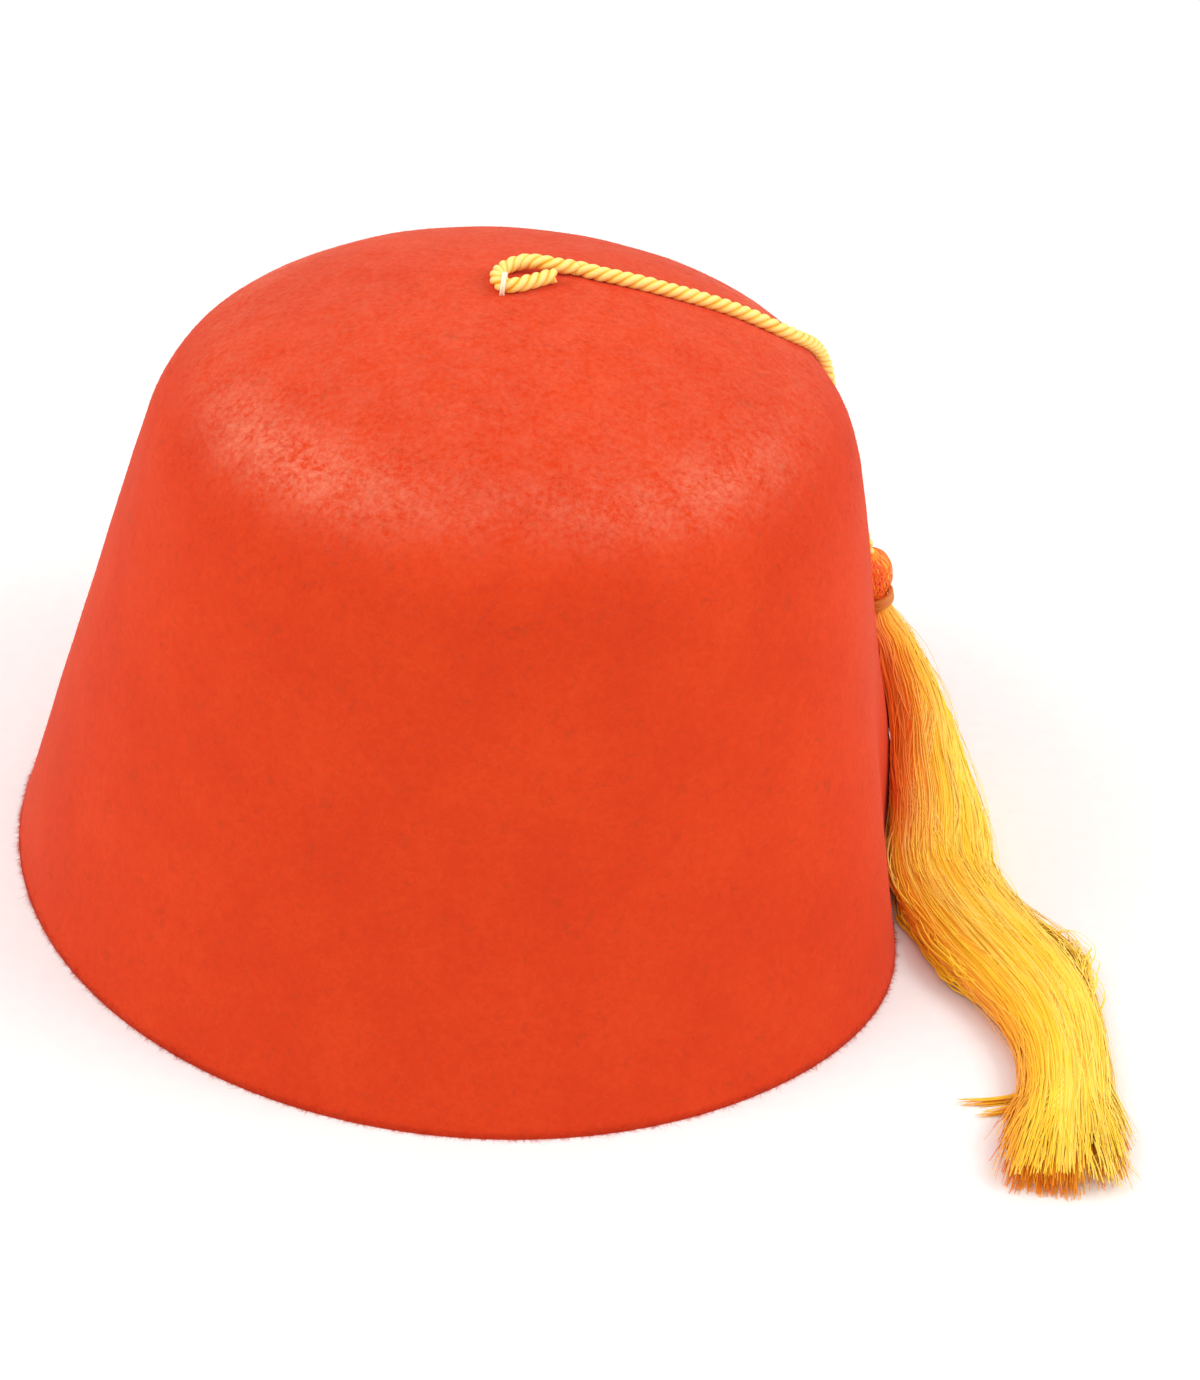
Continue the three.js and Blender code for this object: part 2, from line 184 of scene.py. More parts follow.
@dataclass(frozen=True)
class BlockedFelt:
    """Wool felt, blocked over a form with steam and stiffened.

    Matted fibres of about 0.02 mm give no weave: the eye sees a matt, faintly cloudy colour with a fine
    crumb. The nap turns pinkish where it is seen at a slant. Pale flecks are mixed in by a paleness attribute
    of the mesh, which is partly rubbed wear and partly a painted sheen highlight: a little on the crown, more
    along the shoulder, and most at four quarters of the shoulder, the two at the front being the painted
    highlight. Small brownish flecks are burrs in the wool. The fibres are drawn 0.45 mm wide, because real
    ones are too fine to show.
    """

    name: str = "blocked_wool_felt"
    body: str = "D33B15"
    deep: str = "CB3614"
    light: str = "DA421A"
    rubbed_and_sheen: str = "F09C7E"
    burr: str = "B63C1A"
    nap: str = "FF9C8C"
    cloud_grain: Grain = Grain(22.0, 4.0, 0.6)
    crumb_grain: Grain = Grain(1.6, 5.0, 0.68, 0.9)
    fibre_grain: Grain = Grain(0.45, 3.0, 0.7, 2.4)
    fleck_grain: Grain = Grain(1.15, 4.0, 0.7, 0.3)
    patch_grain: Grain = Grain(7.0, 3.0, 0.6)
    burr_grain: Grain = Grain(2.6, 2.0, 0.55, 0.8)
    dye_stops: tuple[float, float, float] = (0.38, 0.5, 0.62)
    crumb_share: float = 0.5
    fibre_share: float = 0.25
    patch_share: float = 0.32
    burr_range: tuple[float, float] = (0.6, 0.72)
    burr_most: float = 0.4
    pale_range: tuple[float, float] = (0.38, 0.67)
    pale_most: float = 1.0
    relief_share: float = 0.5
    bump_mm: float = 0.08
    roughness: float = 0.85
    ior: float = 1.5
    specular: float = 0.12
    sheen: float = 0.18
    sheen_roughness: float = 0.4

    def build(self) -> bpy.types.Material:
        """Makes the material on object coordinates and on the mesh's paleness attribute: rubbed wear and a
        painted sheen highlight.

        Returns:
            The material.
        """
        material, tree = open_material(self.name)
        place = add_node(tree, "TexCoord").outputs["Object"]
        cloud, crumb, fibre, fleck, patch, burr = (
            add_node(tree, "TexNoise", {
                "Vector": place, "Scale": 1 / (grain.size_mm * MM), "Detail": grain.detail,
                "Roughness": grain.roughness, "Distortion": grain.distortion,
            }).outputs["Fac"]
            for grain in (self.cloud_grain, self.crumb_grain, self.fibre_grain,
                          self.fleck_grain, self.patch_grain, self.burr_grain)
        )
        crumbed, mottled, broken, relief = (
            add_node(tree, "Mix", data_type="FLOAT") for _ in range(4)
        )
        for node, share, first, second in (
            (crumbed, self.crumb_share, cloud, crumb),
            (mottled, self.fibre_share, crumbed.outputs[VALUE_OUT], fibre),
            (broken, self.patch_share, fleck, patch),
            (relief, self.relief_share, crumb, fibre),
        ):
            node.inputs["Factor"].default_value = share
            tree.links.new(first, node.inputs[VALUE_A])
            tree.links.new(second, node.inputs[VALUE_B])
        ramp = add_node(tree, "ValToRGB", {"Fac": mottled.outputs[VALUE_OUT]})
        dyed = set_ramp(ramp, list(zip(self.dye_stops, (self.deep, self.body, self.light))))
        burrs, pale = (
            add_node(tree, "MapRange", {"Value": value, "From Min": low, "From Max": high, "To Max": most})
            for value, (low, high), most in (
                (burr, self.burr_range, self.burr_most),
                (broken.outputs[VALUE_OUT], self.pale_range, self.pale_most),
            )
        )
        flecked = add_node(tree, "Mix", {
            "Factor": burrs.outputs["Result"], COLOUR_A: dyed, COLOUR_B: linear(self.burr),
        }, data_type="RGBA")
        # Pale nap mixed in by the mesh's attribute: partly rubbed wear, partly a painted sheen highlight
        wear_and_sheen = add_node(tree, "Attribute", attribute_name="wear_and_sheen").outputs["Fac"]
        pale_share = add_node(tree, "Math", {0: wear_and_sheen, 1: pale.outputs["Result"]}, operation="MULTIPLY")
        colour = add_node(tree, "Mix", {
            "Factor": pale_share.outputs[0], COLOUR_A: flecked.outputs[COLOUR_OUT], COLOUR_B: linear(self.rubbed_and_sheen),
        }, data_type="RGBA")
        dress_shader(tree, colour.outputs[COLOUR_OUT], {
            "Roughness": self.roughness, "IOR": self.ior, "Specular IOR Level": self.specular,
            "Sheen Weight": self.sheen, "Sheen Roughness": self.sheen_roughness,
            "Sheen Tint": linear(self.nap),
        }, relief.outputs[VALUE_OUT], self.bump_mm)
        return material


@dataclass(frozen=True)
class RayonYarn:
    """Bright rayon filaments, laid side by side and lightly twisted.

    Many parallel filaments give a silky band of light along each yarn. On the cord and the tassel's head the
    "tone" attribute follows each ply or yarn, pale on its crest and deep golden in its groove: a painted
    highlight and painted shade. On the floss it differs at random from strand to strand, with some painted
    light. The attribute "depth" mixes in the glow colour: painted shade, orange where light is caught between
    the yarns, and on the floss also the felt's red light, painted on. The filaments are drawn 0.16 mm wide,
    because real ones are too fine to show.
    """

    name: str
    deep: str
    body: str
    crest: str
    glow: str
    roughness: float = 0.42
    sheen: float = 0.15
    filament_mm: float = 0.16
    slub_mm: float = 6.0
    filament_share: float = 0.3
    filament_detail: float = 2.0
    filament_roughness: float = 0.6
    stops: tuple[float, float, float] = (0.12, 0.5, 0.88)
    bump_mm: float = 0.02
    ior: float = 1.53
    specular: float = 0.5

    def build(self) -> bpy.types.Material:
        """Makes the material on the piece's own tone and depth attributes and its UV map.

        Returns:
            The material.
        """
        material, tree = open_material(self.name)
        tone, depth = (add_node(tree, "Attribute", attribute_name=name).outputs["Fac"]
                       for name in ("tone", "depth"))
        stretch = add_node(tree, "Mapping", {
            "Vector": add_node(tree, "UVMap", uv_map="yarn").outputs["UV"],
            "Scale": (1 / (self.filament_mm * MM), 1 / (self.slub_mm * MM), 1.0),
        })
        filament = add_node(tree, "TexNoise", {
            "Vector": stretch.outputs["Vector"], "Scale": 1.0, "Detail": self.filament_detail,
            "Roughness": self.filament_roughness,
        }).outputs["Fac"]
        mixed = add_node(tree, "Mix", {
            "Factor": self.filament_share, VALUE_A: tone, VALUE_B: filament,
        }, data_type="FLOAT")
        ramp = add_node(tree, "ValToRGB", {"Fac": mixed.outputs[VALUE_OUT]})
        yarn = set_ramp(ramp, list(zip(self.stops, (self.deep, self.body, self.crest))))
        colour = add_node(tree, "Mix", {
            "Factor": depth, COLOUR_A: yarn, COLOUR_B: linear(self.glow),
        }, data_type="RGBA")
        dress_shader(tree, colour.outputs[COLOUR_OUT], {
            "Roughness": self.roughness, "IOR": self.ior, "Specular IOR Level": self.specular,
            "Sheen Weight": self.sheen, "Sheen Tint": linear(self.crest),
        }, filament, self.bump_mm)
        return material


@dataclass(frozen=True)
class PaperGround:
    """Matt white paper sweep: an even, almost white ground that takes a soft shadow."""

    name: str = "white_paper"
    shade: str = "F4F3F1"
    colour: str = "F7F6F4"
    grain_scale: float = 260.0
    grain_detail: float = 3.0
    stops: tuple[float, float] = (0.3, 0.7)
    roughness: float = 0.9
    specular: float = 0.1

    def build(self) -> bpy.types.Material:
        """Makes the material, with a grain that is almost too faint to see.

        Returns:
            The material.
        """
        material, tree = open_material(self.name)
        place = add_node(tree, "TexCoord").outputs["Object"]
        grain = add_node(tree, "TexNoise", {
            "Vector": place, "Scale": self.grain_scale, "Detail": self.grain_detail,
        })
        ramp = add_node(tree, "ValToRGB", {"Fac": grain.outputs["Fac"]})
        colour = set_ramp(ramp, list(zip(self.stops, (self.shade, self.colour))))
        dress_shader(tree, colour, {"Roughness": self.roughness, "Specular IOR Level": self.specular})
        return material


CORD_YARN = RayonYarn("twisted_rayon_cord", "FFAC22", "FFD044", "FFEEA4", "F08A18", roughness=0.45)
FLOSS = RayonYarn("rayon_floss", "FFC018", "FFD722", "FFE67C", "FF6218", roughness=0.55, sheen=0.32)
# The binding's colours are darkened as painted shade, where the neck lies in shadow between the head and the
# skirt
BINDING = RayonYarn("binding_thread", "B8641A", "D8861E", "EEAA42", "C8481A", roughness=0.5)
TACK = RayonYarn("cream_cotton_thread", "F4E3B4", "FFF4CF", "FFFBEA", "F0C080", roughness=0.7)


# Meshes from whole arrays


def put_mesh(
    name: str,
    vertices: Array,
    faces: list[NDArray[np.int64]],
    material: bpy.types.Material,
    attributes: dict[str, Array] | None = None,
    uv: Array | None = None,
) -> bpy.types.Object:
    """Puts vertices and faces into a new smooth mesh that rides on the part.

    Args:
        name: The piece's name.
        vertices: Points, one row each.
        faces: Arrays of faces, each with one row a face and its own number of corners.
        material: The piece's material.
        attributes: Values by name, one for each vertex.
        uv: Two coordinates for each vertex, kept in the UV map "yarn".

    Returns:
        The new object, at the origin.
    """
    mesh = bpy.data.meshes.new(name)
    corners = np.concatenate([f.reshape(-1) for f in faces]).astype(np.int32)
    sizes = np.concatenate([np.full(len(f), f.shape[1]) for f in faces]).astype(np.int32)
    starts = np.concatenate([[0], np.cumsum(sizes)[:-1]]).astype(np.int32)
    mesh.vertices.add(len(vertices))
    mesh.vertices.foreach_set("co", np.ascontiguousarray(vertices, np.float32).reshape(-1))
    mesh.loops.add(len(corners))
    mesh.loops.foreach_set("vertex_index", corners)
    mesh.polygons.add(len(sizes))
    mesh.polygons.foreach_set("loop_start", starts)
    mesh.polygons.foreach_set("loop_total", sizes)
    mesh.polygons.foreach_set("use_smooth", np.ones(len(sizes), bool))
    mesh.update(calc_edges=True)
    for key, values in (attributes or {}).items():
        layer = mesh.attributes.new(key, "FLOAT", "POINT")
        layer.data.foreach_set("value", np.ascontiguousarray(values, np.float32).reshape(-1))
    if uv is not None:
        layer = mesh.uv_layers.new(name="yarn")
        layer.data.foreach_set("uv", np.ascontiguousarray(uv[corners], np.float32).reshape(-1))
    mesh.validate()
    mesh.materials.append(material)
    piece = bpy.data.objects.new(name, mesh)
    bpy.context.scene.collection.objects.link(piece)
    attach(piece, BODY)
    log.info("%s: %d vertices, %d faces", name, len(vertices), len(sizes))
    return piece


def grid_faces(rows: int, around: int) -> NDArray[np.int64]:
    """Quads of a grid whose columns close round: one quad between each two rows and two columns.

    Args:
        rows: Number of rows of points.
        around: Points in each row.

    Returns:
        Corner numbers. A quad runs round first and then on to the next row.
    """
    row, column = np.meshgrid(np.arange(rows - 1), np.arange(around), indexing="ij")
    beside = (column + 1) % around
    quads = [row * around + column, row * around + beside,
             (row + 1) * around + beside, (row + 1) * around + column]
    return np.stack(quads, axis=-1).reshape(-1, 4)


def closed_grid(rows: int, around: int) -> tuple[NDArray[np.int64], NDArray[np.int64]]:
    """The quads of a closed grid, and the triangles that close its two ends.

    Each end is a fan round a point of its own. The two points follow the grid's points.

    Args:
        rows: Number of rows of points.
        around: Points in each row.

    Returns:
        Corner numbers of the quads, and those of the triangles.
    """
    a = np.arange(around)
    b = (a + 1) % around
    last_row = (rows - 1) * around
    first = np.stack([np.full(around, rows * around), b, a], axis=-1)
    last = np.stack([np.full(around, rows * around + 1), last_row + a, last_row + b], axis=-1)
    return grid_faces(rows, around), np.concatenate([first, last])


def run_along(line: Array) -> Array:
    """The length of a line from its start to each of its points."""
    return np.concatenate([[0], np.cumsum(np.linalg.norm(np.diff(line, axis=0), axis=1))])


def smoothed(values: Array, reach: int) -> Array:
    """Values averaged with their neighbours, as many on each side as reach says."""
    window = 2 * reach + 1
    return np.convolve(np.pad(values, reach, mode="edge"), np.ones(window) / window, mode="valid")


def sines(angle: Array, share: Array, terms: tuple[tuple[float, ...], ...],
          start: Array | float = 0) -> Array:
    """A sum of sines: size * sin(turns * angle + slant * share + phase) for each term.

    Args:
        angle: Angle round the shape.
        share: Share of the way along it.
        terms: Size, turns, slant and phase of each sine.
        start: What they are added to.

    Returns:
        The sum.
    """
    for size, turns, slant, phase in terms:
        start = start + size * np.sin(turns * angle + slant * share + phase)
    return start


def unit(vectors: Array) -> Array:
    """Vectors scaled to length 1."""
    return vectors / np.maximum(np.linalg.norm(vectors, axis=-1, keepdims=True), 1e-12)


def carried_tubes(paths: Array, radii: Array, normals: Array, sides: int,
                  flat: float = 1.0) -> tuple[Array, list, Array]:
    """Carries a round section along many paths at once, and closes both ends of each.

    At each point of a path the tangent t and the normal n give b = t x n, and the section is
    radius * (flat n cos a + b sin a) for the angles a. Each end is a fan round its own middle point.

    Args:
        paths: Points, as (path, step, 3).
        radii: Radius of the section, as (path, step).
        normals: A direction across each path, as (path, step, 3).
        sides: Corners of the section.
        flat: The section's height along n as a share of its width.

    Returns:
        The vertices, the faces as quads and triangles, and the UV coordinates in metres: round the
        section and along the path.
    """
    count, steps = radii.shape
    tangent = unit(np.gradient(paths, axis=1))
    across = unit(np.cross(tangent, normals))
    out = np.cross(across, tangent)
    angle = 2 * np.pi * np.arange(sides) / sides
    ring = out[:, :, None] * flat * np.cos(angle)[:, None] + across[:, :, None] * np.sin(angle)[:, None]
    skin = paths[:, :, None] + radii[:, :, None, None] * ring
    ends = paths[:, [0, -1]]
    block = steps * sides + 2
    vertices = np.concatenate([skin.reshape(count, -1, 3), ends], axis=1).reshape(-1, 3)
    offset = (np.arange(count) * block)[:, None, None]
    faces = [(each[None] + offset).reshape(-1, each.shape[1]) for each in closed_grid(steps, sides)]
    stretch = np.linalg.norm(np.diff(paths, axis=1), axis=-1)
    run = np.concatenate([np.zeros((count, 1)), np.cumsum(stretch, axis=1)], axis=1)
    turn = radii[:, :, None] * angle
    grid = np.stack([turn, np.broadcast_to(run[:, :, None], turn.shape)], axis=-1)
    tips = np.stack([np.zeros((count, 2)), run[:, [0, -1]]], axis=-1)
    uv = np.concatenate([grid.reshape(count, -1, 2), tips], axis=1).reshape(-1, 2)
    return vertices, faces, uv


def per_strand(values: Array, sides: int) -> Array:
    """Spreads values of (path, step) to the vertices of carried_tubes, tips included."""
    spread = np.repeat(values, sides, axis=1)
    return np.concatenate([spread, values[:, [0, -1]]], axis=1).reshape(-1)


def smooth_line(points: Array, share: Array) -> Array:
    """A smooth curve through points: a cubic between each two, whose end slopes come from the points next
    to them, weighed by the square roots of the distances.

    Args:
        points: The points that the curve passes through.
        share: Places along the curve from 0 to 1, equal from point to point.

    Returns:
        The points at those places.
    """
    spans = len(points) - 1
    place = np.clip(share, 0, 1) * spans
    low = np.minimum(place.astype(int), spans - 1)
    w = (place - low)[..., None]
    padded = np.vstack([2 * points[0] - points[1], points, 2 * points[-1] - points[-2]])
    p0, p1, p2, p3 = (padded[low + i] for i in range(4))
    d0, d1, d2 = (np.sqrt(np.linalg.norm(q - p, axis=-1, keepdims=True)) for p, q in
                  ((p0, p1), (p1, p2), (p2, p3)))
    start = ((p1 - p0) / d0 - (p2 - p0) / (d0 + d1) + (p2 - p1) / d1) * d1
    end = ((p2 - p1) / d1 - (p3 - p1) / (d1 + d2) + (p3 - p2) / d2) * d1
    square = (3 * (p2 - p1) - 2 * start - end) * w ** 2
    cube = (2 * (p1 - p2) + start + end) * w ** 3
    return p1 + start * w + square + cube


def even_line(points: Array, step: float) -> Array:
    """The same curve at even steps of its length.

    Args:
        points: The points that the curve passes through.
        step: The wanted step in metres.

    Returns:
        Points a step apart, the ends included.
    """
    fine = smooth_line(points, np.linspace(0, 1, FINE_STEPS))
    run = run_along(fine)
    count = max(8, int(round(run[-1] / step)))
    at = np.linspace(0, run[-1], count + 1)
    return np.stack([np.interp(at, run, fine[:, i]) for i in range(3)], axis=-1)


def bell(value: Array) -> Array:
    """A bell curve, 1 at zero and 0.61 at one."""
    return np.exp(-value ** 2 / 2)


def turn_from(start: float, azimuth: Array) -> Array:
    """The shorter way round from one azimuth to others, between half a turn back and half a turn on."""
    return (azimuth - start + np.pi) % (2 * np.pi) - np.pi


def ease(value: Array) -> Array:
    """A smooth step from 0 to 1."""
    t = np.clip(value, 0, 1)
    return t * t * (3 - 2 * t)


def waves(rng: np.random.Generator, share: Array, count: int, low: float, high: float,
          terms: int = 4) -> Array:
    """Smooth random waves: for each path a sum of sines with random turns, phases and sizes.

    Args:
        rng: The random generator.
        share: Places along the paths, as (path, step).
        count: Number of paths.
        low: Fewest turns along a path.
        high: Most turns along a path.
        terms: Sines in the sum.

    Returns:
        Waves of about unit size, as (path, step).
    """
    turns = rng.uniform(low, high, (count, 1, terms))
    phase = rng.uniform(0, 2 * np.pi, (count, 1, terms))
    size = rng.normal(0, 1 / math.sqrt(terms), (count, 1, terms)) * math.sqrt(2)
    return (size * np.sin(2 * np.pi * turns * share[..., None] + phase)).sum(-1)


# The felt


@dataclass(frozen=True)
class Dent:
    """A shallow hollow in the felt, bell-shaped round and down it, with its azimuth and spread in degrees."""

    depth_mm: float
    azimuth: float
    height_mm: float
    spread: float
    reach_mm: float

    def depth(self, height: Array, azimuth: Array) -> Array:
        """How deep it is at a place: its depth times one bell round the hat and another down it."""
        sideways = bell(turn_from(math.radians(self.azimuth), azimuth) / math.radians(self.spread))
        return self.depth_mm * MM * sideways * bell((height - self.height_mm * MM) / (self.reach_mm * MM))


@dataclass(frozen=True)
class FeltForm:
    """The blocked form of the felt and where things lie on it."""

    base_radius: float = 96 * MM
    height: float = 126 * MM
    lean: float = math.radians(15.9)
    shoulder: float = 27 * MM
    crown: float = 110 * MM
    wall: float = 2 * MM
    press_depth: float = 11.9 * MM
    press_azimuth: float = math.radians(-3.1)
    press_spread: float = math.radians(13.6)
    press_top: float = 92 * MM
    dents: tuple[Dent, ...] = (Dent(0.7, 18, 106, 14, 8), Dent(1.0, -3, 94, 13, 8))
    oval_share: float = 0.008
    oval_azimuth: float = math.radians(-33)
    axis_x: float = 0.0

    def spans(self, inset: float = 0.0) -> tuple[float, float, float, float]:
        """Where the outline's three stretches meet.

        Args:
            inset: How far the outline is moved inwards.

        Returns:
            The angle where the crown's arc meets the shoulder's, and the lengths of the crown's arc, the
            shoulder's arc and the straight side.
        """
        shoulder, crown = self.shoulder - inset, self.crown - inset
        up = np.array([-math.sin(self.lean), math.cos(self.lean)])
        inwards = np.array([-math.cos(self.lean), -math.sin(self.lean)])
        foot = np.array([self.base_radius - inset / math.cos(self.lean), 0.0])
        middle = np.array([0.0, self.height - self.crown])
        start = foot + inwards * shoulder - middle
        along = float(start @ up)
        climb = -along + math.sqrt(along ** 2 - float(start @ start) + (crown - shoulder) ** 2)
        centre = start + up * climb
        meet = math.atan2(centre[1], centre[0])
        return meet, (math.pi / 2 - meet) * crown, (meet - self.lean) * shoulder, climb

    def outline(self, run: Array, inset: float = 0.0) -> tuple[Array, Array, Array]:
        """The outline: the crown's arc, then the shoulder's, then a straight leaning side.

        Args:
            run: Distance along it from the crown's centre.
            inset: How far it is moved inwards.

        Returns:
            Radius, height and the angle of its outward normal above the level.
        """
        shoulder, crown = self.shoulder - inset, self.crown - inset
        meet, crown_run, shoulder_run, _ = self.spans(inset)
        angle = np.where(run < crown_run, math.pi / 2 - run / crown,
                         np.maximum(self.lean, meet - (run - crown_run) / shoulder))
        down = np.maximum(0, run - crown_run - shoulder_run)
        on_crown = run < crown_run
        meet_x, meet_z = (crown - shoulder) * math.cos(meet), (crown - shoulder) * math.sin(meet)
        radius = np.where(on_crown, crown * np.cos(angle), meet_x + shoulder * np.cos(angle))
        height = np.where(on_crown, crown * np.sin(angle), meet_z + shoulder * np.sin(angle))
        radius = radius + down * math.sin(self.lean)
        height = height - down * math.cos(self.lean) + self.height - self.crown
        return radius, height, angle

    def plan(self, radius: Array, height: Array, azimuth: Array) -> Array:
        """The plan's radius: round, slightly oval, pressed in on one side and dented under the cord.

        Args:
            radius: The outline's radius.
            height: Its height.
            azimuth: Angle about the hat's axis.

        Returns:
            The radius in that direction.
        """
        oval = 1 + self.oval_share * np.cos(2 * (azimuth - self.oval_azimuth)) * (1 - height / self.height)
        press = bell(turn_from(self.press_azimuth, azimuth) / self.press_spread)
        press = self.press_depth * press * np.maximum(0, 1 - height / self.press_top)
        return radius * oval - press - sum(dent.depth(height, azimuth) for dent in self.dents)

    def total(self, inset: float = 0.0) -> float:
        """Length of the outline from the crown's centre to the cut edge."""
        return sum(self.spans(inset)[1:])

    def place(self, radius: Array, height: Array, azimuth: Array) -> Array:
        """Points of the frame from a radius, a height and an azimuth about the hat's axis."""
        x = radius * np.cos(azimuth) + self.axis_x
        return np.stack([x, radius * np.sin(azimuth), height + 0 * x], axis=-1)

    def polar(self, points: Array) -> tuple[Array, Array]:
        """Azimuth of points about the hat's axis, and their distance from it."""
        flat = points - np.array([self.axis_x, 0, 0])
        return np.arctan2(flat[..., 1], flat[..., 0]), np.hypot(flat[..., 0], flat[..., 1])

    def surface(self, down: Array, azimuth: Array, off: Array, inset: float = 0.0) -> Array:
        """Points off the felt.

        Args:
            down: Share of the way from the crown's centre to the cut edge.
            azimuth: Angle about the hat's axis.
            off: Distance out from the felt, along its outline's normal.
            inset: How far the outline is moved inwards first.

        Returns:
            The points in the frame.
        """
        radius, height, angle = self.outline(down * self.total(inset), inset)
        outward = self.plan(radius, height, azimuth) + off * np.cos(angle)
        return self.place(outward, height + off * np.sin(angle), azimuth)

    def normal(self, down: Array, azimuth: Array) -> Array:
        """The outline's outward normal.

        Args:
            down: Share of the way from the crown's centre to the cut edge.
            azimuth: Angle about the hat's axis.

        Returns:
            Unit directions.
        """
        _, _, angle = self.outline(down * self.total())
        level = np.cos(angle)
        return np.stack([level * np.cos(azimuth), level * np.sin(azimuth), np.sin(angle)], axis=-1)

    def on_crown(self, x: Array, y: Array, off: Array) -> Array:
        """Points above the crown's arc, by their place in plan from the hat's axis."""
        rise = np.sqrt((self.crown + off) ** 2 - x ** 2 - y ** 2)
        return np.stack([x + self.axis_x, y + 0 * x, self.height - self.crown + rise], axis=-1)

    def wall_radius(self, height: Array, azimuth: Array) -> Array:
        """Radius of the straight side at a height."""
        return self.plan(self.base_radius - height * math.tan(self.lean), height, azimuth)


def round_hat(azimuth: Array) -> Array:
    """Level directions round the hat's axis."""
    return np.stack([-np.sin(azimuth), np.cos(azimuth), 0 * azimuth], axis=-1)


@dataclass(frozen=True)
class Ripple:
    """One wave of the skin's unevenness: sin(turns a + slant r + start) sin(down r + phase).

    a is the azimuth and r the distance down from the crown's centre, in metres.
    """

    size: float
    turns: int
    slant: float
    start: float
    down: float
    phase: float


RIPPLES = (
    Ripple(0.6, 3, 0, 0.6, 31, 0.8), Ripple(0.3, 7, 54, 0, 83, -1.1), Ripple(0.18, 17, -140, 2.0, 190, 0.4),
)
SPIKE_FACES = ((0, 2, 1), (0, 1, 3), (1, 2, 3), (2, 0, 3))


@dataclass(frozen=True)
class LooseFibres:
    """How loose fibres vary, in millimetres where it is a length.

    Pairs for length, lift and height are the shape and scale of a gamma distribution, those for width are
    its limits, and curl, slant and drop spread normally.
    """

    length: tuple[float, float]
    width: tuple[float, float]
    lift: tuple[float, float] = (2.0, 0.07)
    curl: float = 0.25
    height: tuple[float, float] = (1.5, 0.5)
    slant: float = 0.8
    drop: tuple[float, float] = (-0.35, 0.4)


NAP_FIBRES = LooseFibres((4.0, 0.3), (0.015, 0.035))
EDGE_FIBRES = LooseFibres((3.0, 0.22), (0.03, 0.06))
NAP = (("nap_crown", 20000, 0.0, 0.45), ("nap_side", 34000, 0.4, 1.0))
EDGE_FIBRE_COUNT = 12000


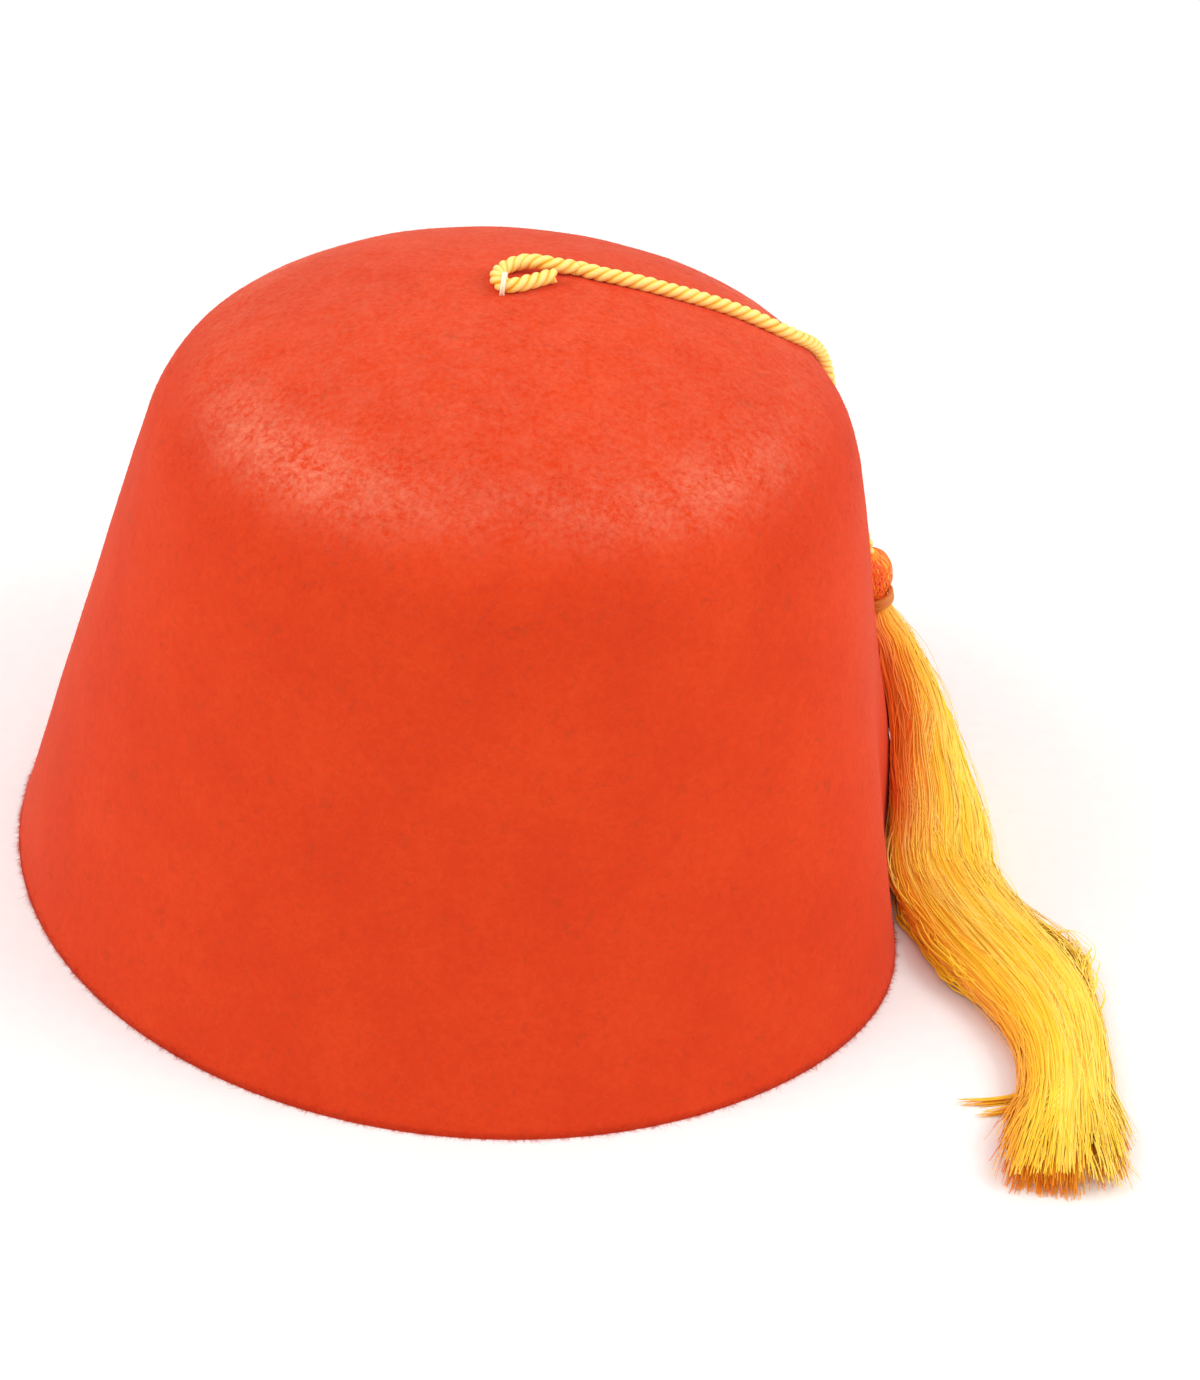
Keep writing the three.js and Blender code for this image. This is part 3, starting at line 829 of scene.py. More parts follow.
@dataclass
class FeltBody:
    """The felt cap: side, shoulder and crown in one wall, with its nap and its fuzzy cut edge."""

    form: FeltForm
    finish: bpy.types.Material
    around: int = 256
    outer_rows: int = 110
    inner_rows: int = 32
    edge_rows: int = 6
    ripple: float = 0.35 * MM
    even_crown: float = 40 * MM
    even_from: float = 0.9
    even_reach: float = 0.1
    shoulder: float = 0.338
    shoulder_reach: float = 0.03
    ring_pale: float = 0.04
    # Paler quarters of the shoulder ring: the two at the front, at -131 and -48 degrees, are a painted sheen
    # highlight, and the two at the back are rubbed nap
    quarters: tuple[tuple[float, float], ...] = ((-131, 0.44), (-48, 0.26), (48, 0.3), (135, 0.35))
    quarter_reach: float = math.radians(19)
    crown_pale: float = 0.15
    crown_end: float = 0.3
    crown_fade: float = 0.1
    centre_pale: tuple[float, float] = (0.2, 0.0)
    # Painted light: the loose nap fibres are made paler, so that their shaded sides don't show as dark hairs
    nap_painted_light: float = 0.3
    nap_root: float = 0.03 * MM
    edge_root: float = 0.1 * MM
    spread_as_disc: float = 0.2

    def ripples(self, azimuth: Array, run: Array) -> Array:
        """Small unevenness of hand blocking: a few slow waves round and down the felt.

        Args:
            azimuth: Angle about the hat's axis.
            run: Distance down from the crown's centre.

        Returns:
            How far the felt stands off its form.
        """
        uneven = sum(
            wave.size * (np.sin(wave.turns * azimuth + run * wave.slant + wave.start)
                         * np.sin(run * wave.down + wave.phase))
            for wave in RIPPLES
        )
        return self.ripple * uneven * ease(run / self.even_crown)

    def off(self, down: Array, azimuth: Array) -> Array:
        """The ripples by their share of the way down, fading out towards the cut edge."""
        fade = 1 - ease((down - self.even_from) / self.even_reach)
        return self.ripples(azimuth, down * self.form.total()) * fade

    def wear_and_sheen(self, down: Array, azimuth: Array) -> Array:
        """How pale the nap is made: partly rubbed wear and partly a painted sheen highlight.

        A little all over the crown, more in a ring along the shoulder, and most at four quarters of that
        ring.
        The two quarters at the front, at -131 and -48 degrees, are a painted highlight where the lamps' sheen
        falls, and the two at the back are rubbed nap.

        Args:
            down: Share of the way from the crown's centre to the cut edge.
            azimuth: Angle about the hat's axis.

        Returns:
            The paleness, from 0 to 1.
        """
        ring = bell((down - self.shoulder) / self.shoulder_reach)
        quarters = sum(
            share * bell(turn_from(math.radians(middle), azimuth) / self.quarter_reach)
            for middle, share in self.quarters
        )
        crown = self.crown_pale * (1 - ease((down - self.crown_end) / self.crown_fade))
        return crown + ring * (self.ring_pale + quarters)

    def build(self) -> bpy.types.Object:
        """Makes the wall: the outer skin from the crown down, the cut edge, and the inner skin back up.

        Returns:
            The felt cap.
        """
        azimuth = (2 * np.pi * np.arange(self.around) / self.around)[None]
        outer = np.linspace(0, 1, self.outer_rows + 1)[1:, None]
        inner = np.linspace(1, 0, self.inner_rows + 1)[:-1, None]
        outside = self.form.surface(outer, azimuth, self.off(outer, azimuth))
        inside = self.form.surface(inner, azimuth, 0 * inner, self.form.wall)
        share = (np.arange(1, self.edge_rows) / self.edge_rows)[:, None, None]
        edge = outside[-1] * (1 - share) + inside[0] * share
        rows = np.concatenate([outside, edge, inside])
        top = self.form.on_crown(np.zeros(1), np.zeros(1), np.zeros(1))
        under = top - np.array([0, 0, self.form.wall])
        vertices = np.concatenate([rows.reshape(-1, 3), top, under])
        quads, fans = closed_grid(len(rows), self.around)
        # Paleness of the nap on the outer skin: partly rubbed wear, partly a painted sheen highlight
        wear_and_sheen = np.zeros(rows.shape[:2])
        wear_and_sheen[:self.outer_rows] = self.wear_and_sheen(outer, azimuth)
        rubbed_and_sheen = np.concatenate([wear_and_sheen.reshape(-1), self.centre_pale])
        piece = put_mesh("felt_cap", vertices, [quads[:, ::-1], fans[:, [0, 2, 1]]], self.finish,
                         {"wear_and_sheen": rubbed_and_sheen})
        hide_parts("felt_body")
        return piece

    def fibres(self, name: str, rng: np.random.Generator, count: int, low: float,
               high: float) -> bpy.types.Object:
        """Short loose fibres of the nap: thin closed spikes that start in the felt and lie nearly flat.

        A fibre is a three-sided spike from root to root + length * along + lift * normal + curl * beside.
        On the crown the square root of their share keeps them evenly close.

        Args:
            name: The piece's name.
            rng: The random generator.
            count: Number of fibres.
            low: Share of the way down where they begin.
            high: Share of the way down where they end.

        Returns:
            The new piece.
        """
        if low < self.spread_as_disc:
            down = np.sqrt(rng.uniform(low ** 2, high ** 2, count))
        else:
            down = rng.uniform(low, high, count)
        azimuth = rng.uniform(0, 2 * np.pi, count)
        root = self.form.surface(down, azimuth, self.off(down, azimuth) - self.nap_root)
        normal = self.form.normal(down, azimuth)
        sideways = round_hat(azimuth)
        heading = rng.uniform(0, 2 * np.pi, count)[:, None]
        along = sideways * np.cos(heading) + np.cross(sideways, normal) * np.sin(heading)
        beside = np.cross(normal, along)
        length = rng.gamma(*NAP_FIBRES.length, count)[:, None] * MM
        lift = rng.gamma(*NAP_FIBRES.lift, count)[:, None] * MM
        curl = rng.normal(0, NAP_FIBRES.curl, count)[:, None] * length
        width = rng.uniform(*NAP_FIBRES.width, count)[:, None] * MM
        tip = root + length * along + lift * normal + curl * beside
        # Painted light: the loose fibres are made paler than the felt under them, so their shaded sides don't
        # show as dark hairs
        wear_and_sheen = self.wear_and_sheen(down, azimuth) + self.nap_painted_light
        return self.spikes(name, root, tip, beside * width, normal * width, wear_and_sheen)

    def spikes(self, name: str, root: Array, tip: Array, beside: Array, over: Array,
               wear_and_sheen: Array) -> bpy.types.Object:
        """Makes closed three-sided spikes.

        Args:
            name: The piece's name.
            root: The middle of each root's lower side.
            tip: Each spike's tip.
            beside: Half the root's width, across the spike and to its left.
            over: The root's height.
            wear_and_sheen: The felt's paleness at each spike, partly rubbed wear and partly painted light.

        Returns:
            The new piece.
        """
        corners = np.stack([root - beside, root + beside, root + over, tip], axis=1)
        vertices = corners.reshape(-1, 3)
        vertices[:, 2] = np.maximum(vertices[:, 2], 0)
        start = (np.arange(len(root)) * corners.shape[1])[:, None]
        faces = np.concatenate([start + np.array([face]) for face in SPIKE_FACES])
        piece = put_mesh(name, vertices, [faces], self.finish,
                         {"wear_and_sheen": np.repeat(wear_and_sheen, corners.shape[1])})
        piece.data.polygons.foreach_set("use_smooth", np.zeros(len(faces), bool))
        return piece

    def edge_fuzz(self, rng: np.random.Generator, count: int) -> bpy.types.Object:
        """Fibres that stand out of the cut edge, where the blade left them loose.

        Args:
            rng: The random generator.
            count: Number of fibres.

        Returns:
            The new piece.
        """
        azimuth = rng.uniform(0, 2 * np.pi, count)
        height = rng.gamma(*EDGE_FIBRES.height, count) * MM
        radius = self.form.wall_radius(height, azimuth) - self.edge_root
        root = self.form.place(radius, height, azimuth)
        outward = np.stack([np.cos(azimuth), np.sin(azimuth), 0 * azimuth], axis=-1)
        beside = round_hat(azimuth)
        length = rng.gamma(*EDGE_FIBRES.length, count)[:, None] * MM
        slant = rng.normal(0, EDGE_FIBRES.slant, count)[:, None]
        drop = rng.normal(*EDGE_FIBRES.drop, count)[:, None] * length * np.array([0, 0, 1])
        width = rng.uniform(*EDGE_FIBRES.width, count)[:, None] * MM
        tip = root + length * (outward + slant * beside) + drop
        upwards = np.broadcast_to(np.array([0.0, 0.0, 1.0]), root.shape)
        return self.spikes("edge_fuzz", root, tip, beside * width, upwards * width, np.zeros(count))


# The cord


@dataclass(frozen=True)
class CordPoint:
    """A point of the free cord's route."""

    down: float
    azimuth: float
    lift: float = 0.0


CORD_ROUTE = (
    CordPoint(0.078, 38.1), CordPoint(0.09, 30.1), CordPoint(0.112, 23.8), CordPoint(0.14, 20.2),
    CordPoint(0.168, 18), CordPoint(0.202, 17.1), CordPoint(0.245, 17.2), CordPoint(0.28, 17.1),
    CordPoint(0.308, 17.1), CordPoint(0.336, 18.1), CordPoint(0.359, 20.1), CordPoint(0.381, 22.5),
    CordPoint(0.409, 24.7), CordPoint(0.443, 26.4), CordPoint(0.482, 27.7), CordPoint(0.538, 28.4),
    CordPoint(0.594, 28.6, 0.1), CordPoint(0.645, 28.5, 0.75),
)


@dataclass(frozen=True)
class EyePoint:
    """A point of the eye in plan, as shares of its size, and its lift in cord radii."""

    x: float
    y: float
    lift: float = 0.0


EYE_LOOP = (
    EyePoint(0.431, 0.205, 0.1), EyePoint(0.313, 0.112), EyePoint(0.163, -0.022), EyePoint(0, -0.138),
    EyePoint(-0.125, -0.156), EyePoint(-0.206, -0.056), EyePoint(-0.219, 0.113), EyePoint(-0.15, 0.3),
    EyePoint(-0.019, 0.406, 0.2), EyePoint(0.138, 0.431, 0.5), EyePoint(0.281, 0.42, 0.6),
    EyePoint(0.43, 0.44, 0.4),
)


STITCH_MM = (
    (-1.95, -0.6, -0.3), (-1.98, -0.7, 1.9), (-2.0, -1.5, 3.3), (-2.05, -2.6, 3.6),
    (-2.1, -3.7, 3.05), (-2.2, -4.4, 1.9), (-2.25, -4.35, 0.7), (-2.25, -3.7, -0.3),
)


@dataclass
class TwistedCord:
    """The three-ply cord: its free stretch, the eye at the crown, and the stitch that tacks the eye down."""

    form: FeltForm
    finish: bpy.types.Material
    stitch: bpy.types.Material
    diameter: float = 3.2 * MM
    lay: float = 6.8 * MM
    plies_count: int = 3
    ply_share: float = 0.24
    twist_share: float = 0.222
    gap: float = -0.2 * MM
    eye_size: float = 16 * MM
    step: float = 0.3 * MM
    sides: int = 14
    swell: float = 0.035
    swell_waves: tuple[float, float, int] = (5, 26, 7)
    wander: float = 0.12
    wander_waves: tuple[float, float, int] = (3, 12, 4)
    groove: float = 0.385
    groove_reach: float = 0.13
    crest: float = 0.3
    crest_reach: float = 0.15
    groove_tone: float = 0.12
    crest_tone: float = 0.66
    yarn_slant: float = 0.35
    stitch_radius: float = 0.24 * MM
    stitch_beside: float = 0.9
    stitch_step: float = 0.15 * MM
    stitch_sides: int = 10
    stitch_tone: float = 0.6

    def route(self, head_top: Array, head_up: Array) -> Array:
        """The middle line of the free cord.

        Args:
            head_top: The point where the cord meets the tassel's head.
            head_up: The head's axis, upwards.

        Returns:
            The points that it passes through.
        """
        down, azimuth, lift = np.array([(p.down, math.radians(p.azimuth), p.lift) for p in CORD_ROUTE]).T
        off = self.diameter / 2 * (1 + lift) + self.gap
        points = self.form.surface(down, azimuth, off)
        return np.vstack([points, head_top + head_up * self.diameter, head_top])

    def eye_route(self) -> Array:
        """The middle line of the eye.

        Returns:
            The points that it passes through.
        """
        x, y, lift = np.array([(p.x, p.y, p.lift) for p in EYE_LOOP]).T
        off = self.diameter / 2 * (1 + lift) + self.gap
        return self.form.on_crown(x * self.eye_size, y * self.eye_size, off)

    def felt_normals(self, line: Array) -> Array:
        """Outward directions of the felt under a line: straight up on the crown, out at the side.

        The level part fades with the eighth power of the height, and the upright part grows with its fourth.

        Args:
            line: Points on or near the felt.

        Returns:
            Unit directions.
        """
        flat = line - np.array([self.form.axis_x, 0, 0])
        height = np.clip(flat[:, 2] / self.form.height, 0, 1)
        radial = unit(flat * np.array([1, 1, 0]))
        return unit(radial * (1 - height ** 8)[:, None] + np.array([0, 0, 1]) * (0.3 + height ** 4)[:, None])

    def plies(self, line: Array, rng: np.random.Generator) -> tuple[Array, Array, Array]:
        """Twists the plies round a middle line.

        A ply's own middle is line + offset * (n cos(p) + b sin(p)), where p grows by one turn a lay. It
        swells and thins a little along the way, as spun yarn does.

        Args:
            line: The cord's middle line at even steps.
            rng: The random generator.

        Returns:
            The plies' middle lines, their radii and their directions away from the cord's middle.
        """
        tangent = unit(np.gradient(line, axis=0))
        across = unit(np.cross(tangent, self.felt_normals(line)))
        out = np.cross(across, tangent)
        run = run_along(line)
        ply_radius = self.diameter * self.ply_share
        reach = self.diameter * self.twist_share
        share = np.broadcast_to(run / run[-1], (self.plies_count, len(run)))
        swell = 1 + self.swell * waves(rng, share, self.plies_count, *self.swell_waves)
        starts = 2 * np.pi * np.arange(self.plies_count)[:, None] / self.plies_count
        phases = -2 * np.pi * run / self.lay + starts
        phases = phases + self.wander * waves(rng, share[:1], 1, *self.wander_waves)
        radial = out[None] * np.cos(phases)[..., None] + across[None] * np.sin(phases)[..., None]
        return line[None] + reach * radial, ply_radius * swell, radial

    def put_plies(self, name: str, line: Array, plies: tuple[Array, Array, Array],
                  part: slice) -> bpy.types.Object:
        """Makes a stretch of the cord.

        Painted shade makes a vertex more orange and darker the nearer it lies to the cord's middle, in the
        grooves between the plies, and a painted highlight makes it paler on each ply's crest.

        Args:
            name: The piece's name.
            line: The whole cord's middle line.
            plies: What the plies function returns for the whole cord.
            part: The stretch's places on the line.

        Returns:
            The new piece.
        """
        paths, radii, radial = (values[:, part] for values in plies)
        stretch = line[part]
        vertices, faces, uv = carried_tubes(paths, radii, radial, self.sides)
        middle = np.concatenate([np.repeat(stretch, self.sides, axis=0), stretch[[0, -1]]])
        blocks = vertices.reshape(self.plies_count, -1, 3)
        distance = np.linalg.norm(blocks - middle[None], axis=-1).reshape(-1) / self.diameter
        # Painted shade in the grooves between plies, and a painted highlight on each ply's crest
        depth = np.clip((self.groove - distance) / self.groove_reach, 0, 1)
        crest = np.clip((distance - self.crest) / self.crest_reach, 0, 1)
        tone = self.groove_tone + self.crest_tone * crest
        uv[:, 0] += uv[:, 1] * self.yarn_slant
        return put_mesh(name, vertices, faces, self.finish, {"tone": tone, "depth": depth}, uv)

    def build(self, head_top: Array, head_up: Array,
              rng: np.random.Generator) -> tuple[bpy.types.Object, float, Array]:
        """Makes the free cord and the eye, which are one cord that is parted where the eye ends.

        Args:
            head_top: The point where the cord meets the tassel's head.
            head_up: The head's axis, upwards.
            rng: The random generator.

        Returns:
            The free cord, its length and the points of its middle line.
        """
        route = self.route(head_top, head_up)
        line = even_line(np.vstack([self.eye_route(), route]), self.step)
        joint = int(np.linalg.norm(line - route[0], axis=1).argmin())
        plies = self.plies(line, rng)
        free = self.put_plies("twisted_cord", line, plies, slice(joint, None))
        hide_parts("tassel_cord")
        eye = self.put_plies("folded_eye", line, plies, slice(0, joint + 1))
        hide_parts("cord_eye")
        length = float(np.linalg.norm(np.diff(line[joint:], axis=0), axis=1).sum())
        return free, length, line[joint:]

    def tack(self) -> bpy.types.Object:
        """The pale stitch that holds the eye's end down: two threads over the strand, sewn in at both ends.

        Returns:
            The new piece.
        """
        x, y, rise = np.array(STITCH_MM).T * MM
        line = even_line(self.form.on_crown(x, y, rise), self.stitch_step)
        beside = np.array([self.stitch_radius * self.stitch_beside, 0, 0])
        paths = line[None] + np.array([-1.0, 1.0])[:, None, None] * beside
        radii = np.full(paths.shape[:2], self.stitch_radius)
        normals = np.broadcast_to(np.array([1.0, 0, 0]), paths.shape)
        vertices, faces, uv = carried_tubes(paths, radii, normals, self.stitch_sides)
        tone = np.full(len(vertices), self.stitch_tone)
        return put_mesh("tack_stitch", vertices, faces, self.stitch,
                        {"tone": tone, "depth": 0 * tone}, uv)


# The tassel


@dataclass(frozen=True)
class HangingRow:
    """A section of the skirt beside the wall. Lengths are shares of the tassel's own sizes."""

    azimuth: float
    height: float
    off: float
    width: float
    thickness: float


@dataclass(frozen=True)
class LyingRow:
    """A section of the skirt on the floor. out and forward are shares of the lying length."""

    out: float
    forward: float
    width: float
    thickness: float


@dataclass(frozen=True)
class Lock:
    """A bundle of floss in the skirt: its place and size in the section, and where and how it ends."""

    across: float
    up: float
    size: float
    reach: float
    stray: float = 0.0
    bend: float = 0.0
    start: float = 0.0


@dataclass(frozen=True)
class Bundle:
    """Strands that are laid alike in a lock."""

    lock: Lock
    strands: int
    inner: float = 0.5
    loose: float = 0.16 * MM
    radius: float = 0.15 * MM
    tone: float = 0.5


@dataclass(frozen=True)
class Loops:
    """Strands that have sprung out of the skirt, bowed aside between two places along it.

    side is +1 for the skirt's right border and -1 for its left one, and bow and curl are lengths.
    """

    count: int
    start: float
    end: float
    side: float
    bow: float
    curl: float
    tone: float


@dataclass(frozen=True)
class Wisps:
    """Strands that cross the skirt on top, from one place across it to another, made pale as a painted
    highlight.
    """

    count: int
    start: float
    end: float
    from_across: float
    to_across: float


HANGING = (
    HangingRow(27, 0.71, 0.215, 0.36, 0.8), HangingRow(24, 0.585, 0.225, 0.41, 1.3),
    HangingRow(18.8, 0.465, 0.245, 0.49, 1.75), HangingRow(12.6, 0.36, 0.298, 0.59, 1.95),
    HangingRow(6.4, 0.265, 0.38, 0.74, 1.75), HangingRow(0.9, 0.18, 0.478, 0.84, 1.4),
)
LYING = (
    LyingRow(0.008, 0.095, 0.92, 1.1), LyingRow(0.036, 0.2, 0.98, 1.08), LyingRow(0.087, 0.305, 1, 1.08),
    LyingRow(0.142, 0.4, 0.97, 1.05), LyingRow(0.186, 0.5, 0.86, 1.02), LyingRow(0.207, 0.605, 0.72, 0.96),
    LyingRow(0.209, 0.72, 0.68, 0.9), LyingRow(0.199, 0.835, 0.8, 0.84), LyingRow(0.187, 0.975, 0.96, 0.68),
)
LOCKS = (
    Lock(-0.62, 0.05, 0.4, 0.965, stray=-0.13), Lock(-0.3, 0.42, 0.42, 1, stray=-0.12),
    Lock(0.05, 0.5, 0.44, 0.99, stray=-0.03, bend=0.4), Lock(0.38, 0.36, 0.42, 0.99, stray=0.03),
    Lock(0.64, -0.02, 0.38, 0.955, stray=0.1, bend=0.7), Lock(-0.42, -0.4, 0.46, 0.985, stray=-0.12),
    Lock(0, -0.35, 0.5, 0.99), Lock(0.42, -0.4, 0.46, 0.97, stray=-0.03),
)
STRAY_LOCKS = (
    Lock(-0.4, -0.5, 0.19, 0.89, stray=-0.47, start=0.82),
    Lock(-0.4, -0.45, 0.13, 0.904, stray=-0.34, start=0.83),
)
TUFT_LOCK = Lock(0.55, 0.1, 0.28, 0.975, stray=0.12, start=0.7)
LOOSE_LOCK = Lock(0.66, 0.2, 0.2, 0.8, stray=-0.16, bend=1.5, start=0.45)
WHOLE_SKIRT = Lock(0, 0, 0.985, 1.0)
END_ACROSS = (-1.2, -1.0, -0.78, -0.15, 0.25, 0.36, 0.5, 0.78, 1.0, 1.2)
END_REACH = (0.93, 0.968, 0.985, 0.994, 0.984, 0.958, 0.953, 0.958, 0.94, 0.92)
BORDER_LOOPS = (
    Loops(56, 0.625, 0.73, 1, 3.4 * MM, 1.4 * MM, 0.7), Loops(44, 0.65, 0.745, 1, 4.8 * MM, 1.3 * MM, 0.66),
    Loops(26, 0.58, 0.7, -1, 2.4 * MM, 0.8 * MM, 0.4), Loops(18, 0.5, 0.6, -1, 1.8 * MM, 0.6 * MM, 0.4),
    Loops(5, 0.44, 0.56, -1, 2.0 * MM, 0.3 * MM, 0.75), Loops(10, 0.36, 0.5, 1, 0.8 * MM, 0.4 * MM, 0.6),
    Loops(46, 0.16, 0.4, -1, 2.2 * MM, 0.2 * MM, 0.3),
)
TOP_WISPS = (
    Wisps(34, 0.5, 0.7, -0.6, 0.75), Wisps(26, 0.34, 0.58, -0.9, 0.1), Wisps(24, 0.46, 0.68, 0.9, 0.25),
    Wisps(30, 0.84, 0.985, 0.5, -0.75), Wisps(22, 0.84, 0.98, -0.3, 0.7), Wisps(16, 0.2, 0.42, 0.2, -0.7),
    Wisps(20, 0.66, 0.84, 0.7, -0.2), Wisps(16, 0.3, 0.5, 0.9, 0.2),
)


# The head's profile: share of its length, and radius as a share of its own
HEAD_PROFILE = ((0, 0.42), (0.03, 0.62), (0.16, 0.88), (0.42, 1), (0.72, 0.93), (1, 0.64), (1.28, 0.62))
HEAD_LEAN = ((0.5, 5, 0, 0), (0.35, 3, 5, 0))
HEAD_LUMPS = ((0.03, 3, 4, 0), (0.02, 7, -6, 0))
CORE_STREAKS = ((1, 23, 6, 0), (1, 37, -9, 1), (1, 53, 4, 0))
FLOSS_CLUMPS = ((1, 5, 7, 0), (1, 11, -6, 2))


@dataclass(frozen=True)
class FlossLay:
    """How strands vary in the skirt. Places along them and reaches are shares of the strand's length."""

    turn: float = 0.3
    tip_start: float = 0.93
    tip_reach: float = 0.07
    tip_spread: float = 0.2
    tip_aside: float = 1.0 * MM
    tip_thinning: float = 0.65
    end_spread: float = 0.013
    lock_end_spread: float = 0.006
    end_short: float = 0.008
    neck_reach: float = 0.2
    wave_turns: tuple[float, float] = (0.8, 5)
    wave_rise: float = 0.7
    widths: tuple[float, float] = (0.75, 1.25)
    tone_spread: float = 0.07
    tone_waves: float = 0.04
    tone_turns: tuple[float, float] = (1, 6)
    clump: float = 0.06
    # Painted light: the lying skirt is paler towards its right border and darker towards its left
    painted_light_side: float = 0.1
    low_from: float = 0.15
    low_reach: float = 0.7
    lock_low: float = 0.3
    # Painted shade: how much more orange the tips, the underside, the left border and the inside are
    tip_shade: float = 0.18
    low_shade: float = 0.3
    left_shade: float = 0.34
    left_from: float = 0.66
    left_reach: float = 0.34
    inside_shade: float = 0.4
    inside_from: float = 0.94
    inside_reach: float = 0.3
    lock_inside: float = 0.1


@dataclass(frozen=True)
class SprungLay:
    """How sprung loops and wisps vary. Pairs are limits."""

    first: tuple[float, float] = (-0.02, 0.03)
    last: tuple[float, float] = (-0.03, 0.02)
    bow: tuple[float, float] = (0.35, 1.1)
    bow_power: float = 0.8
    curl_turns: tuple[float, float] = (0.8, 2.2)
    curl: tuple[float, float] = (0.3, 1.0)
    border: tuple[float, float] = (0.78, 0.95)
    up: tuple[float, float] = (-0.6, 0.45)
    hump: tuple[float, float] = (-0.2, 0.3)
    facing_up: float = 0.8
    loop_radius: float = 0.19 * MM
    widths: tuple[float, float] = (0.8, 1.2)
    tone_spread: float = 0.1
    wisp_start: tuple[float, float] = (-0.03, 0.03)
    wisp_last: float = 0.995
    wisp_across: tuple[float, float] = (-0.3, 0.3)
    wisp_wave: float = 0.3 * MM
    wisp_turns: tuple[float, float] = (1, 4)
    wisp_border: float = 0.97
    wisp_rise: float = 0.96
    wisp_hump: float = 0.045
    wisp_radius: float = 0.14 * MM
    wisp_tip: float = 0.3
    wisp_swell: float = 4
    # Painted highlight: how pale the crossing wisps are
    wisp_highlight: float = 0.78


@dataclass(frozen=True)
class HeadLay:
    """How the head's yarns and the loose strands over it lie. Tones are a middle and a spread."""

    yarn_floor: float = 0.9
    yarn_rise: float = 0.1
    turn: float = 1.9
    tone: tuple[float, float] = (0.02, 0.4)
    loose_start: float = 0.02
    loose_run: float = 0.86
    loose_lean: float = 0.35
    loose_wave: float = 0.12
    loose_turns: tuple[float, float] = (1, 4)
    slack: float = 0.14
    under: float = 0.985
    over: float = 0.08 * MM
    radius: float = 0.15 * MM
    loose_tone: tuple[float, float] = (0.45, 0.14)
    # Painted shade on the head's loose strands, which lie close against the felt
    painted_shade: float = 0.62


@dataclass(frozen=True)
class CoreLay:
    """How the skirt's closed body is shaped and coloured. Places are shares of the skirt's length."""

    close_from: float = 0.85
    close_reach: float = 0.1
    close_least: float = 0.02
    lump: float = 0.012
    clear: float = 0.2 * MM
    tone: float = 0.5
    streak: float = 0.07
    # Painted shade: orange all over, more at the left border where it lies, most at the end
    painted_shade: float = 0.24
    left_from: float = 0.6
    left_reach: float = 0.4
    tip_from: float = 0.89
    tip_reach: float = 0.05
    tip_shade: float = 0.8
    ends_shade: tuple[float, float] = (0.3, 0.6)
    yarn_round: float = 5 * MM


LAY = FlossLay()
SPRUNG = SprungLay()
HEAD = HeadLay()
CORE = CoreLay()


